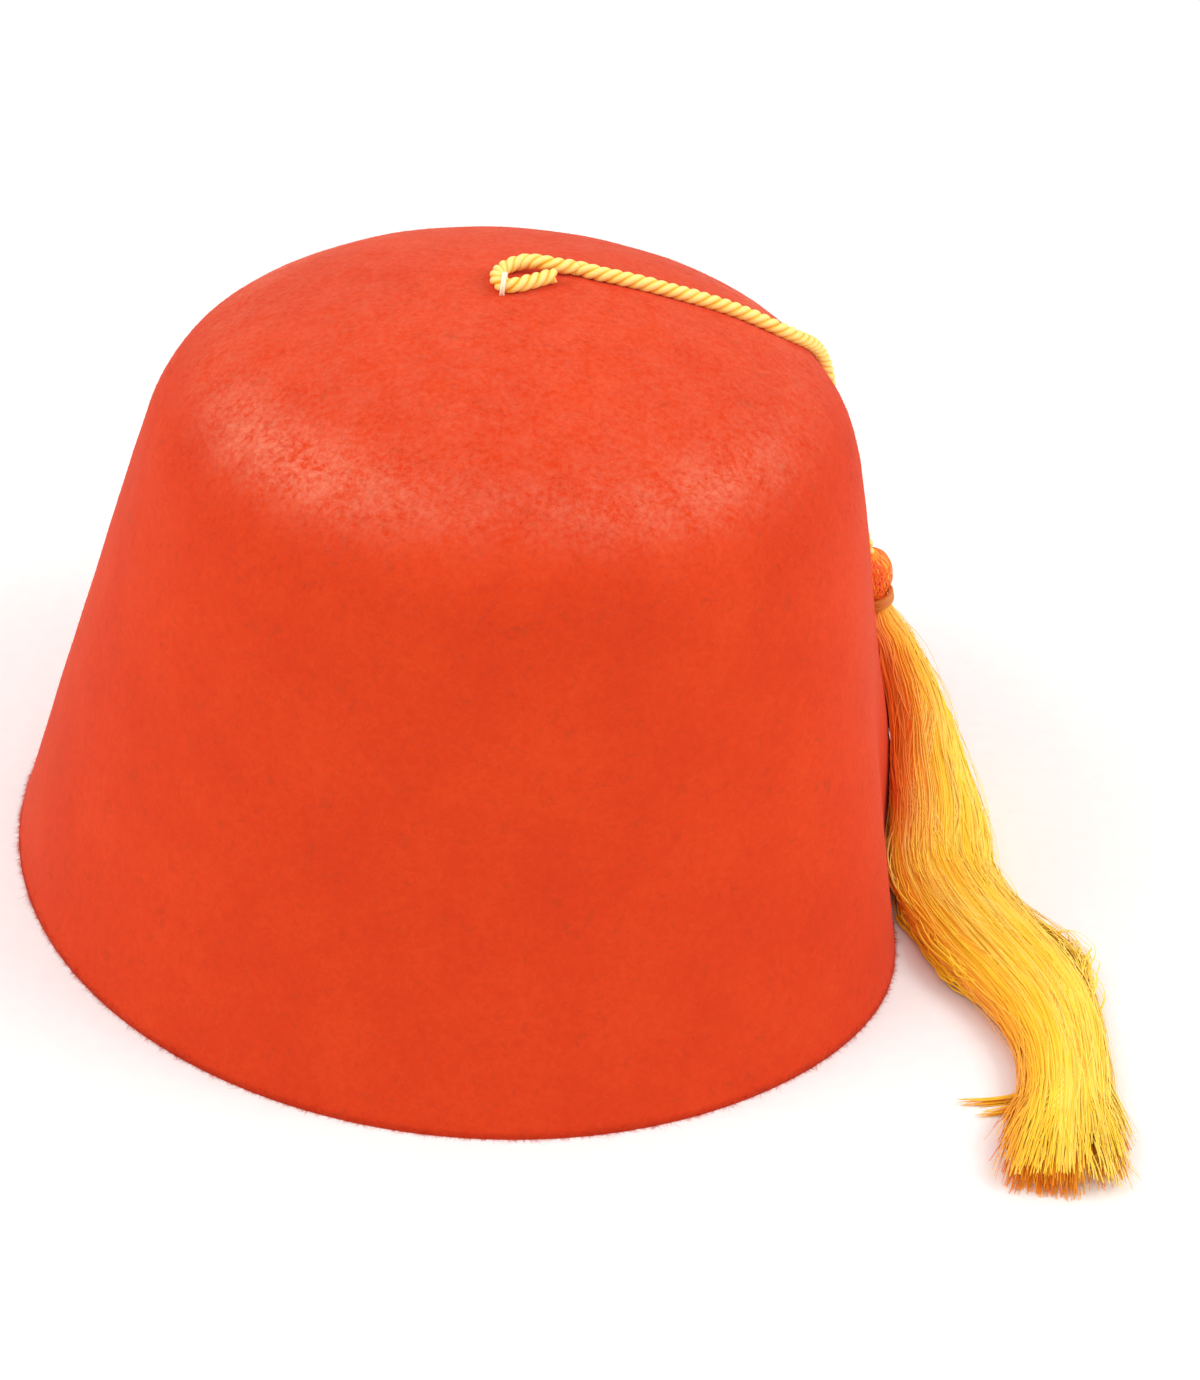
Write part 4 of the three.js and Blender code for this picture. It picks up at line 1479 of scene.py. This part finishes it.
@dataclass
class Tassel:
    """The tassel: a wrapped head, a bound neck and a long skirt of loose floss."""

    form: FeltForm
    floss: bpy.types.Material
    winding: bpy.types.Material
    head_diameter: float = 9 * MM
    head_length: float = 9.7 * MM
    head_height: float = 44.3 * MM
    head_azimuth: float = math.radians(28.5)
    neck_diameter: float = 6 * MM
    neck_length: float = 3.7 * MM
    binding_width: float = 2.6 * MM
    width: float = 24 * MM
    thickness: float = 10 * MM
    lying: float = 103.5 * MM
    length: float = 160 * MM
    settle: float = 0.76
    surface_gap: float = 0.35 * MM
    end_gap: float = 0.3 * MM
    lock_fan: float = 1.45
    head_run: float = 1.28
    strand_steps: int = 40
    strand_sides: int = 3
    strand_flat: float = 0.32
    neck_share: float = 0.13
    near: float = 0.002
    side_from: float = 0.1
    side_reach: float = 0.05
    head_rows: int = 44
    head_around: int = 252
    head_yarns: int = 26
    end_tone: float = 0.3
    head_depth: float = 0.9
    head_deepest: float = 0.75
    profile_steps: int = 200
    profile_reach: int = 10
    head_strands: int = 90
    thread: float = 0.31 * MM
    thread_turns: float = 9.4
    thread_steps: int = 520
    thread_reach: int = 20
    thread_layers: tuple[float, float] = (0.6, 1.3)
    second_layer: float = 0.5
    thread_sides: int = 8
    thread_tone: float = 0.45
    thread_depth: float = 0.25
    lie_from: float = 0.45
    lie_reach: float = 0.15
    floor_gap: float = 0.05 * MM
    felt_gap: float = 0.25 * MM
    glow_most: float = 0.85
    glow_gap: float = 1 * MM
    glow_reach: float = 6 * MM
    glow_low: float = 5 * MM
    glow_rise: float = 9 * MM
    core_rows: int = 110
    core_around: int = 132
    core_end: float = 0.95
    core_size: float = 0.985

    def __post_init__(self) -> None:
        """Works out the head's axis and the skirt's middle line."""
        tilt, turn = self.form.lean, self.head_azimuth
        level = math.sin(tilt)
        self.down = np.array([level * math.cos(turn), level * math.sin(turn), -math.cos(tilt)])
        off = (self.head_diameter / 2 + self.surface_gap + self.end_gap) / math.cos(tilt)
        self.centre = self.beside(np.array(self.head_height), np.array(turn), off)
        start = self.head_length / 2 + self.neck_length
        hang = np.array([(math.radians(r.azimuth), r.height, r.off) for r in HANGING])
        beside = self.beside(hang[:, 1] * self.head_height, hang[:, 0], hang[:, 2] * self.width)
        lie = np.array([(r.out, r.forward, r.thickness) for r in LYING])
        floor = np.stack([
            beside[-1, 0] + lie[:, 0] * self.lying,
            beside[-1, 1] - lie[:, 1] * self.lying,
            lie[:, 2] * self.thickness * self.settle / 2,
        ], axis=-1)
        neck = [self.on_axis(start), self.on_axis(start + self.neck_length / 3)]
        self.middle = np.vstack([neck, beside, floor])
        rows = [(self.neck_diameter / self.width, self.neck_diameter / self.thickness)] * 2
        rows += [(r.width, r.thickness) for r in HANGING + LYING]
        self.sections = np.array(rows) * np.array([self.width, self.thickness]) / 2
        self.first_side = self.level_side(self.along(np.array(self.neck_share)))

    def beside(self, height: Array, azimuth: Array, off: Array) -> Array:
        """Points beside the felt's wall."""
        return self.form.place(self.form.wall_radius(height, azimuth) + off, height, azimuth)

    def on_axis(self, distance: float) -> Array:
        """A point of the head's axis, by its distance down from the head's middle."""
        return self.centre + self.down * distance

    def head_top(self) -> Array:
        """Where the cord goes into the head."""
        return self.on_axis(-self.head_length / 2 - self.end_gap)

    def ring(self, angle: Array) -> Array:
        """Directions across the head's axis.

        Args:
            angle: Angles round the axis.

        Returns:
            Unit directions.
        """
        one = unit(np.cross(self.down, np.array([0.0, 1.0, 0.0])))
        two = np.cross(self.down, one)
        return one * np.cos(angle)[..., None] + two * np.sin(angle)[..., None]

    def off_axis(self, drop: Array, radius: Array, ring: Array) -> Array:
        """Points by their distance down the head's axis from its middle, and away from it along a ring."""
        return self.centre + drop[..., None] * self.down + radius[..., None] * ring

    def run(self) -> Array:
        """Shares of a strand's length at its steps, in one row."""
        return np.linspace(0, 1, self.strand_steps)[None]

    def head(self) -> bpy.types.Object:
        """The head: floss laid down over a small core and gathered in again at the neck.

        Its radius runs through the head's profile, and each of its yarns stands out of it as a half round,
        |sin(yarns / 2 * angle + lean)|, leaning a little round the head on its way down.

        Returns:
            The new piece.
        """
        share = np.linspace(0, 1, self.head_rows)[:, None]
        angle = 2 * np.pi * np.arange(self.head_around) / self.head_around
        lean = sines(angle, share, HEAD_LEAN, HEAD.turn * share)
        yarn = np.abs(np.sin(self.head_yarns / 2 * angle + lean))
        lumps = sines(angle, share, HEAD_LUMPS, 1)
        radius = self.head_profile(share) * lumps * (HEAD.yarn_floor + HEAD.yarn_rise * yarn)
        drop = (share * self.head_run - 0.5) * self.head_length
        rows = self.off_axis(drop, radius, self.ring(angle))
        ends = np.array([self.on_axis(drop[0]), self.on_axis(drop[-1])])
        uv = np.stack([radius * angle, np.broadcast_to(drop, radius.shape)], axis=-1).reshape(-1, 2)
        # Painted highlight and shade: the head is paler on each yarn's crest and more orange in the grooves
        # between them
        low, rise = HEAD.tone
        tone = np.concatenate([(low + rise * yarn).reshape(-1), [self.end_tone, self.end_tone]])
        depth = np.clip(self.head_depth - tone, 0, self.head_deepest)
        return put_mesh("tassel_head", np.concatenate([rows.reshape(-1, 3), ends]),
                        list(closed_grid(self.head_rows, self.head_around)), self.floss,
                        {"tone": tone, "depth": depth}, np.concatenate([uv, np.zeros((2, 2))]))

    def head_profile(self, share: Array) -> Array:
        """The head's radius, from its top down to inside the binding.

        Args:
            share: Share of the way down.

        Returns:
            The radius there.
        """
        knots, sizes = np.array(HEAD_PROFILE).T
        fine = np.linspace(0, 1, self.profile_steps)
        radius = np.interp(fine * self.head_run, knots, sizes * self.head_diameter / 2)
        return np.interp(share, fine, smoothed(radius, self.profile_reach))

    def head_floss(self, rng: np.random.Generator) -> bpy.types.Object:
        """Loose strands over the head, from its top to the binding, some of them slack.

        The draw that is multiplied by 0 gives each strand a row and keeps the later draws in their order.

        Args:
            rng: The random generator.

        Returns:
            The new piece.
        """
        run, each = self.run(), (self.head_strands, 1)
        share = HEAD.loose_start + HEAD.loose_run * run + 0 * rng.uniform(0, 1, each)
        angle = rng.uniform(0, 2 * np.pi, each) + rng.normal(0, HEAD.loose_lean, each) * run
        angle = angle + HEAD.loose_wave * waves(rng, share, self.head_strands, *HEAD.loose_turns)
        slack = np.abs(rng.normal(0, HEAD.slack, each)) * MM * np.sin(np.pi * run)
        radius = self.head_profile(share) * HEAD.under + HEAD.over + slack
        drop = (share * self.head_run - 0.5) * self.head_length
        ring = self.ring(angle)
        paths = self.off_axis(drop, radius, ring)
        tone = rng.normal(*HEAD.loose_tone, each) + 0 * run
        # Painted shade: the strands over the head are made more orange, where the head lies close against the
        # felt
        radii, painted_shade = np.full(share.shape, HEAD.radius), np.full(share.shape, HEAD.painted_shade)
        return self.strands("head_floss", [(paths, radii, ring, tone, painted_shade)])

    def binding(self) -> bpy.types.Object:
        """The neck's binding: turns of thread wound close, two layers, with its ends tucked under.

        Returns:
            The new piece.
        """
        share = np.linspace(0, 1, self.thread_steps)
        top = self.head_length / 2 + (self.neck_length - self.binding_width) / 2
        sweep = 0.5 - 0.5 * np.cos(2 * np.pi * share)
        drop = top + self.thread + (self.binding_width - 2 * self.thread) * sweep
        first, second = self.thread_layers
        rise = self.thread * (first + second * (share > self.second_layer))
        layer = self.neck_diameter / 2 + self.end_gap + rise
        ring = self.ring(2 * np.pi * self.thread_turns * share)
        line = self.off_axis(drop, smoothed(layer, self.thread_reach), ring)
        radii = np.full((1, self.thread_steps), self.thread)
        vertices, faces, uv = carried_tubes(line[None], radii, ring[None], self.thread_sides)
        # Painted shade: the binding's thread takes a constant share of the orange glow colour, on top of its
        # darkened colours
        tone = np.full(len(vertices), self.thread_tone)
        piece = put_mesh("neck_thread", vertices, faces, self.winding,
                         {"tone": tone, "depth": self.thread_depth + 0 * tone}, uv)
        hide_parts("neck_binding")
        return piece

    def along(self, share: Array) -> Array:
        """The direction of the skirt's middle line.

        Args:
            share: Places along the skirt.

        Returns:
            Unit directions.
        """
        ahead = smooth_line(self.middle, np.minimum(share + self.near, 1.0))
        behind = smooth_line(self.middle, np.maximum(share - self.near, 0.0))
        return unit(ahead - behind)

    def level_side(self, along: Array) -> Array:
        """The level direction across the skirt."""
        return -unit(np.cross(along, np.array([0.0, 0.0, 1.0])))

    def at(self, share: Array, across: Array, up: Array) -> Array:
        """Points of the skirt.

        The section is level from side to side. Near the neck, where the skirt runs straight down and has no
        level side of its own, it keeps the side that it has a little further on.

        Args:
            share: Places along the skirt.
            across: Places across its section, from -1 to 1.
            up: Places up through its section, from -1 to 1.

        Returns:
            The points.
        """
        side, rise = self.section_axes(share)
        width, thickness = self.section(share)
        middle = smooth_line(self.middle, share)
        return middle + side * (width * across)[..., None] + rise * (thickness * up)[..., None]

    def section_axes(self, share: Array) -> tuple[Array, Array]:
        """The directions across the skirt and up through it.

        Args:
            share: Places along the skirt.

        Returns:
            Unit directions to the side, and those upwards.
        """
        along = self.along(share)
        kept = self.first_side - (along @ self.first_side)[..., None] * along
        turn = ease((share - self.side_from) / self.side_reach)[..., None]
        side = unit(unit(kept) * (1 - turn) + self.level_side(along) * turn)
        return side, np.cross(along, side)

    def outward(self, share: Array, across: Array, up: Array) -> Array:
        """The direction straight out of the skirt's oval at a place in its section.

        Args:
            share: Places along the skirt.
            across: Places across its section, from -1 to 1.
            up: Places up through its section, from -1 to 1.

        Returns:
            Unit directions.
        """
        side, rise = self.section_axes(share)
        width, thickness = self.section(share)
        return unit(side * (across / width)[..., None] + rise * (up / thickness)[..., None])

    def section(self, share: Array) -> tuple[Array, Array]:
        """Half the skirt's width and thickness."""
        knots = np.linspace(0, 1, len(self.sections))
        return np.interp(share, knots, self.sections[:, 0]), np.interp(share, knots, self.sections[:, 1])

    def drift(self, lock: Lock, share: Array) -> Array:
        """How far a lock moves across the skirt: its stray end and its bend.

        Args:
            lock: The lock.
            share: Places along the skirt.

        Returns:
            Lengths to the side.
        """
        run = np.clip((share - lock.start) / max(lock.reach - lock.start, 1e-6), 0, 1.1)
        stray = lock.stray * np.maximum(0, (run - 0.45) / 0.55) ** 1.6
        return self.width * (stray + lock.bend * 0.13 * bell((share - 0.685) / 0.05))

    def keep_clear(self, paths: Array, radii: Array) -> Array:
        """Moves points that would lie in the floor or in the felt out to their surface.

        Args:
            paths: Points, which are changed.
            radii: How far each stays off the surface.

        Returns:
            The same points.
        """
        paths[..., 2] = np.maximum(paths[..., 2], radii + self.floor_gap)
        azimuth, radius = self.form.polar(paths)
        wall = self.form.wall_radius(paths[..., 2], azimuth) + radii + self.felt_gap
        push = np.maximum(0, wall - radius)
        paths[..., 0] += push * np.cos(azimuth)
        paths[..., 1] += push * np.sin(azimuth)
        return paths

    def lies(self, share: Array) -> Array:
        """How far the skirt lies on the floor at a place along it, from 0 to 1."""
        return ease((share - self.lie_from) / self.lie_reach)

    def glow(self, points: Array) -> Array:
        """The red light that the felt throws on floss that hangs close to it.

        It falls off with the distance from the felt, exp(-(gap / reach) ** 1.5), and towards the floor.

        Args:
            points: Points of the floss.

        Returns:
            The light, from 0 to 1.
        """
        azimuth, radius = self.form.polar(points)
        gap = radius - self.form.wall_radius(points[..., 2], azimuth)
        near = np.exp(-(np.maximum(gap - self.glow_gap, 0) / self.glow_reach) ** 1.5)
        height = ease((points[..., 2] - self.glow_low) / self.glow_rise)
        return np.clip(self.glow_most * near * height, 0, 1)

    def strands(self, name: str, parts: list[tuple[Array, ...]]) -> bpy.types.Object:
        """Makes one mesh of many strands, clear of the floor and the felt.

        A strand is a flat ridge, whose crest faces out of the tassel, so that many of them side by side make
        one silky face.

        Args:
            name: The piece's name.
            parts: Groups of strands, each with five arrays: their middle lines, half their widths, their
            directions out of the tassel, how pale they are, and how much painted shade makes them orange,
            on top of the felt's red light painted on them.

        Returns:
            The new piece.
        """
        paths, radii, normals, tone, painted_shade = (np.concatenate(columns) for columns in zip(*parts))
        paths = self.keep_clear(paths, radii)
        vertices, faces, uv = carried_tubes(paths, radii, normals, self.strand_sides, self.strand_flat)
        attributes = {
            "tone": per_strand(np.clip(tone, 0, 1), self.strand_sides),
            # The glow colour is mixed in by the felt's painted red light and the painted shade
            "depth": per_strand(np.clip(self.glow(paths) + painted_shade, 0, 1), self.strand_sides),
        }
        piece = put_mesh(name, vertices, faces, self.floss, attributes, uv)
        piece.data.polygons.foreach_set("use_smooth", np.zeros(len(piece.data.polygons), bool))
        return piece

    def lay_floss(self, name: str, rng: np.random.Generator, bundles: list[Bundle]) -> bpy.types.Object:
        """Lays the strands of some bundles.

        A strand keeps its own place in its lock's oval, turns slowly round it and adds slow random waves,
        which grow from the neck. Where it ends depends on its place across the skirt, so the tips make the
        skirt's brush, and each tip spreads and thins. Painted shade makes strands more orange at the left
        border, low down where the skirt lies, at the tips and inside the skirt, and painted light makes the
        lying skirt paler towards its right border and darker towards its left.

        Args:
            name: The piece's name.
            rng: The random generator.
            bundles: The bundles.

        Returns:
            The new piece.
        """
        parts = []
        run = self.run()
        for bundle in bundles:
            lock, count, whole = bundle.lock, bundle.strands, bundle.lock.start == 0
            each = (count, 1)
            fan = (1 - lock.size) * self.lock_fan
            angle = rng.uniform(0, 2 * np.pi, each)
            place = np.sqrt(rng.uniform(bundle.inner ** 2, 1, each))
            turned = angle + rng.normal(0, LAY.turn, each) * run
            tip = ease((run - LAY.tip_start) / LAY.tip_reach)
            spread = place * (1 + LAY.tip_spread * tip)
            across = lock.across * fan + lock.size * spread * np.cos(turned)
            up = lock.up * fan + lock.size * spread * np.sin(turned)
            if whole:
                reach = np.interp(across[:, -1:], END_ACROSS, END_REACH) + rng.normal(0, LAY.end_spread, each)
            else:
                reach = lock.reach + rng.normal(0, LAY.lock_end_spread, each)
            reach = np.minimum(reach, 1 - rng.uniform(0, LAY.end_short, each))
            share = lock.start + (reach - lock.start) * run
            width, thickness = self.section(share)
            loose = bundle.loose * (ease(run / LAY.neck_reach) if whole else np.ones_like(run))
            aside = self.drift(lock, share) + loose * waves(rng, share, count, *LAY.wave_turns)
            aside = aside + rng.normal(0, LAY.tip_aside, each) * tip
            lifted = LAY.wave_rise * loose * waves(rng, share, count, *LAY.wave_turns)
            paths = self.at(share, across + aside / width, up + lifted / thickness)
            radii = bundle.radius * rng.uniform(*LAY.widths, each) * (1 - LAY.tip_thinning * tip)
            tone = rng.normal(bundle.tone, LAY.tone_spread, each)
            tone = tone + LAY.tone_waves * waves(rng, share, count, *LAY.tone_turns)
            tone = tone + LAY.clump * sines(turned, share, FLOSS_CLUMPS)
            lies = self.lies(share)
            # Painted light: the lying skirt is paler towards its right border and darker towards its left
            tone = tone + LAY.painted_light_side * np.clip(across, -1, 1) * lies
            # Painted shade, orange at the left border, underneath, at the tips and inside the skirt
            low = ease((LAY.low_from - up) / LAY.low_reach)
            left = LAY.left_shade * ease((-across - LAY.left_from) / LAY.left_reach) * lies
            if whole:
                inside = LAY.inside_shade * ease((LAY.inside_from - np.hypot(across, up)) / LAY.inside_reach)
            else:
                low, inside = LAY.lock_low * low, LAY.lock_inside
            painted_shade = left + (LAY.tip_shade * tip + LAY.low_shade * lies) * low + inside
            parts.append((paths, radii, self.outward(share, across, up), tone, painted_shade))
        return self.strands(name, parts)

    def loops(self, rng: np.random.Generator) -> bpy.types.Object:
        """Sprung loops along the borders, which leave small gaps.

        Between its two ends a loop bows out by bow * sin(pi t) ** 0.8 and adds a curl that turns once or
        twice.

        Args:
            rng: The random generator.

        Returns:
            The new piece.
        """
        parts = []
        run = self.run()
        arch = np.sin(np.pi * run)
        for loops in BORDER_LOOPS:
            each = (loops.count, 1)
            first = loops.start + rng.uniform(*SPRUNG.first, each)
            last = loops.end + rng.uniform(*SPRUNG.last, each)
            share = first + (last - first) * run
            width, _ = self.section(share)
            bow = loops.side * loops.bow * rng.uniform(*SPRUNG.bow, each) * arch ** SPRUNG.bow_power
            turns = rng.uniform(*SPRUNG.curl_turns, each) * rng.choice([-1, 1], each)
            phase = rng.uniform(0, 2 * np.pi, each) + 2 * np.pi * turns * run
            curl = loops.curl * rng.uniform(*SPRUNG.curl, each) * arch
            across = loops.side * rng.uniform(*SPRUNG.border, each) + (bow + curl * np.cos(phase)) / width
            up = rng.uniform(*SPRUNG.up, each) + rng.uniform(*SPRUNG.hump, each) * arch
            paths = self.at(share + curl * np.sin(phase) / self.length, across, up)
            radii = np.full(share.shape, SPRUNG.loop_radius) * rng.uniform(*SPRUNG.widths, each)
            tone = loops.tone + rng.normal(0, SPRUNG.tone_spread, each) + 0 * share
            normals = self.outward(share, across, np.full(share.shape, SPRUNG.facing_up))
            parts.append((paths, radii, normals, tone, 0 * share))
        return self.strands("floss_loops", parts)

    def wisps(self, rng: np.random.Generator) -> bpy.types.Object:
        """Strands that lie slantwise over the others, on the upper half of the skirt's oval, made pale as a
        painted highlight.

        Args:
            rng: The random generator.

        Returns:
            The new piece.
        """
        parts = []
        run = self.run()
        arch = np.sin(np.pi * run)
        for wisps in TOP_WISPS:
            each = (wisps.count, 1)
            share = wisps.start + rng.uniform(*SPRUNG.wisp_start, each) + (wisps.end - wisps.start) * run
            share = np.minimum(share, SPRUNG.wisp_last)
            width, _ = self.section(share)
            way = ease(run) * (wisps.to_across - wisps.from_across) + wisps.from_across
            across = way + rng.uniform(*SPRUNG.wisp_across, each)
            across = across + SPRUNG.wisp_wave / width * waves(rng, share, wisps.count, *SPRUNG.wisp_turns)
            across = np.clip(across, -SPRUNG.wisp_border, SPRUNG.wisp_border)
            up = np.sqrt(1 - across ** 2)
            rise = SPRUNG.wisp_rise + SPRUNG.wisp_hump * arch
            paths = self.at(share, across * rise, up * rise)
            swell = np.minimum(1, SPRUNG.wisp_tip + SPRUNG.wisp_swell * arch)
            radii = SPRUNG.wisp_radius * swell * rng.uniform(*SPRUNG.widths, each)
            # Painted highlight: the wisps are paler than the strands under them
            tone = SPRUNG.wisp_highlight + rng.normal(0, SPRUNG.tone_spread, each) + 0 * share
            parts.append((paths, radii, self.outward(share, across, up), tone, 0 * share))
        return self.strands("floss_wisps", parts)

    def core(self) -> bpy.types.Object:
        """The closed body of the skirt: the mass of floss on which the loose strands lie.

        Fine streaks run along it, as sums of sines of the angle round it. Painted shade makes it more orange
        all over, more at its left border where it lies, and most at its end.

        Returns:
            The new piece.
        """
        share = np.linspace(0.0, self.core_end, self.core_rows)[:, None]
        angle = 2 * np.pi * np.arange(self.core_around) / self.core_around
        shut = np.clip((share - CORE.close_from) / CORE.close_reach, 0, 1)
        close = np.sqrt(np.clip(1 - shut ** 2, CORE.close_least, 1))
        lumps = np.sin(7 * angle + 9 * share) * np.sin(5 * share + 2)
        lumps = lumps + 0.7 * np.sin(13 * angle - 14 * share + 1)
        size = self.core_size * close * (1 + CORE.lump * lumps)
        rows = self.at(share + 0 * angle, size * np.cos(angle), size * np.sin(angle))
        flat = self.keep_clear(rows.reshape(-1, 3), np.full(rows[..., 0].size, CORE.clear))
        vertices = np.concatenate([flat, [rows[0].mean(0), rows[-1].mean(0)]])
        tone = (CORE.tone + CORE.streak * sines(angle, share, CORE_STREAKS)).reshape(-1)
        # Painted shade: orange all over, more at the left border where it lies and most at the end
        left = ease((-np.cos(angle) - CORE.left_from) / CORE.left_reach)
        edge = CORE.painted_shade + CORE.painted_shade * left * self.lies(share)
        end = ease((share - CORE.tip_from) / CORE.tip_reach) * CORE.tip_shade
        painted_shade = np.concatenate([(edge + end).reshape(-1), CORE.ends_shade])
        run, turn = np.meshgrid(share[:, 0] * self.length, angle * CORE.yarn_round, indexing="ij")
        uv = np.concatenate([np.stack([turn, run], axis=-1).reshape(-1, 2), np.zeros((2, 2))])
        attributes = {
            "tone": np.concatenate([tone, [self.end_tone, self.end_tone]]),
            "depth": np.clip(self.glow(vertices) + painted_shade, 0, 1),
        }
        piece = put_mesh("skirt_core", vertices, list(closed_grid(self.core_rows, self.core_around)),
                         self.floss, attributes, uv)
        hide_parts("tassel")
        return piece

    def skirt(self, rng: np.random.Generator) -> list[bpy.types.Object]:
        """The skirt's strands, in pieces that each stay under the limit on triangles.

        Args:
            rng: The random generator.

        Returns:
            The new pieces.
        """
        cover = Bundle(WHOLE_SKIRT, 760, inner=0.98, loose=0.2 * MM, radius=0.22 * MM, tone=0.55)
        flyaway = Bundle(WHOLE_SKIRT, 170, inner=0.98, loose=0.9 * MM, radius=0.13 * MM, tone=0.7)
        ends = [Bundle(lock, 30, inner=0.1, loose=0.25 * MM) for lock in STRAY_LOCKS]
        ends.append(Bundle(TUFT_LOCK, 110, inner=0.2))
        ends.append(Bundle(LOOSE_LOCK, 80, inner=0.2, loose=0.5 * MM, tone=0.6))
        return [
            self.head_floss(rng),
            self.lay_floss("floss_cover", rng, [cover]),
            self.lay_floss("floss_upper", rng, [Bundle(lock, 70, inner=0.3) for lock in LOCKS[:4]]),
            self.lay_floss("floss_lower", rng, [Bundle(lock, 60, inner=0.3) for lock in LOCKS[4:]]),
            self.lay_floss("floss_ends", rng, ends + [flyaway]),
            self.loops(rng),
            self.wisps(rng),
        ]


# The stage


@dataclass
class Stage:
    """The pale ground, the soft studio light and the camera at the photo's angle."""

    form: FeltForm
    ground: bpy.types.Material
    elevation: float = math.radians(34.356)
    roll: float = math.radians(4.776)
    distance: float = 0.6
    focal_px: float = 3001.2
    photo_height_px: float = 1380
    sensor_mm: float = 36
    aim_height: float = 55 * MM
    aim_right: float = 20.627 * MM
    aim_up: float = -16.916 * MM
    ground_half: float = 12.0
    ground_drop: float = -0.02 * MM
    near_clip: float = 0.01
    lamps: tuple[tuple[str, tuple[float, float, float]], ...] = (
        ("key_left", (-0.72, -0.25, 0.92)), ("key_right", (0.85, -0.1, 0.8)),
    )
    lamp_aim: tuple[float, float, float] = (0, 0, 0.06)
    lamp_size: float = 0.5
    lamp_power: float = 4.7
    surround: str = "FFFFFF"
    surround_strength: float = 0.86

    def camera(self) -> bpy.types.Object:
        """Sets the camera where the photo's outline of the hat puts it.

        Returns:
            The camera.
        """
        back = Vector((0, -math.cos(self.elevation), math.sin(self.elevation)))
        right, up = Vector((1, 0, 0)), Vector((0, math.sin(self.elevation), math.cos(self.elevation)))
        x_axis = right * math.cos(self.roll) + up * math.sin(self.roll)
        y_axis = up * math.cos(self.roll) - right * math.sin(self.roll)
        aim = Vector((self.form.axis_x, 0, self.aim_height)) + x_axis * self.aim_right + y_axis * self.aim_up
        data = bpy.data.cameras.new("photo_camera")
        data.sensor_width = self.sensor_mm
        data.sensor_fit = "AUTO"
        data.lens = self.focal_px / self.photo_height_px * self.sensor_mm
        data.clip_start = self.near_clip
        camera = bpy.data.objects.new("photo_camera", data)
        turn = Matrix((x_axis, y_axis, back)).transposed().to_4x4()
        camera.matrix_world = Matrix.Translation(aim + back * self.distance) @ turn
        bpy.context.scene.collection.objects.link(camera)
        bpy.context.scene.camera = camera
        return camera

    def floor(self) -> bpy.types.Object:
        """The ground, a wide level sheet just under the hat's edge.

        Returns:
            The ground.
        """
        mesh = bpy.data.meshes.new("ground")
        half, drop = self.ground_half, self.ground_drop
        corners = [(-half, -half, drop), (half, -half, drop), (half, half, drop), (-half, half, drop)]
        mesh.from_pydata(corners, [], [(0, 1, 2, 3)])
        mesh.materials.append(self.ground)
        floor = bpy.data.objects.new("ground", mesh)
        bpy.context.scene.collection.objects.link(floor)
        return floor

    def soft_box(self, name: str, place: tuple[float, float, float]) -> None:
        """A square white soft light that faces the hat.

        Args:
            name: The light's name.
            place: Where it stands.
        """
        data = bpy.data.lights.new(name, "AREA")
        data.size = self.lamp_size
        data.energy = self.lamp_power
        lamp = bpy.data.objects.new(name, data)
        lamp.location = place
        lamp.rotation_euler = (Vector(self.lamp_aim) - Vector(place)).to_track_quat("-Z", "Y").to_euler()
        bpy.context.scene.collection.objects.link(lamp)

    def lights(self) -> None:
        """Two soft boxes, one at each side of the hat, and an even pale surround."""
        for name, place in self.lamps:
            self.soft_box(name, place)
        world = bpy.data.worlds.new("studio")
        world.use_nodes = True
        background = world.node_tree.nodes["Background"]
        background.inputs["Color"].default_value = linear(self.surround)
        background.inputs["Strength"].default_value = self.surround_strength
        bpy.context.scene.world = world


def hat_axis() -> float:
    """Finds the hat's axis: the felt's highest point stands on it.

    Returns:
        The axis's x.
    """
    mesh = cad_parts["felt_body"].data
    points = np.empty(len(mesh.vertices) * 3, np.float32)
    mesh.vertices.foreach_get("co", points)
    points = points.reshape(-1, 3)
    return float(points[points[:, 2].argmax(), 0])


def main() -> None:
    """Builds the stage, the cord, the felt and the tassel."""
    logging.basicConfig(level=logging.INFO, format="%(name)s %(message)s")
    rng = np.random.default_rng(SEED)
    form = FeltForm(axis_x=hat_axis())
    stage = Stage(form, PaperGround().build())
    stage.camera()
    stage.floor()
    stage.lights()
    bpy.context.scene.view_settings.view_transform = "Standard"

    tassel = Tassel(form, FLOSS.build(), BINDING.build())
    cord = TwistedCord(form, CORD_YARN.build(), TACK.build())
    free, length, line = cord.build(tassel.head_top(), -tassel.down, rng)
    head = tassel.head()
    binding = tassel.binding()
    cord.tack()

    tassel.core()
    tassel.skirt(rng)

    felt = FeltBody(form, BlockedFelt().build())
    felt.build()
    for name, count, low, high in NAP:
        felt.fibres(name, rng, count, low, high)
    felt.edge_fuzz(rng, EDGE_FIBRE_COUNT)


if __name__ == "__main__":
    main()
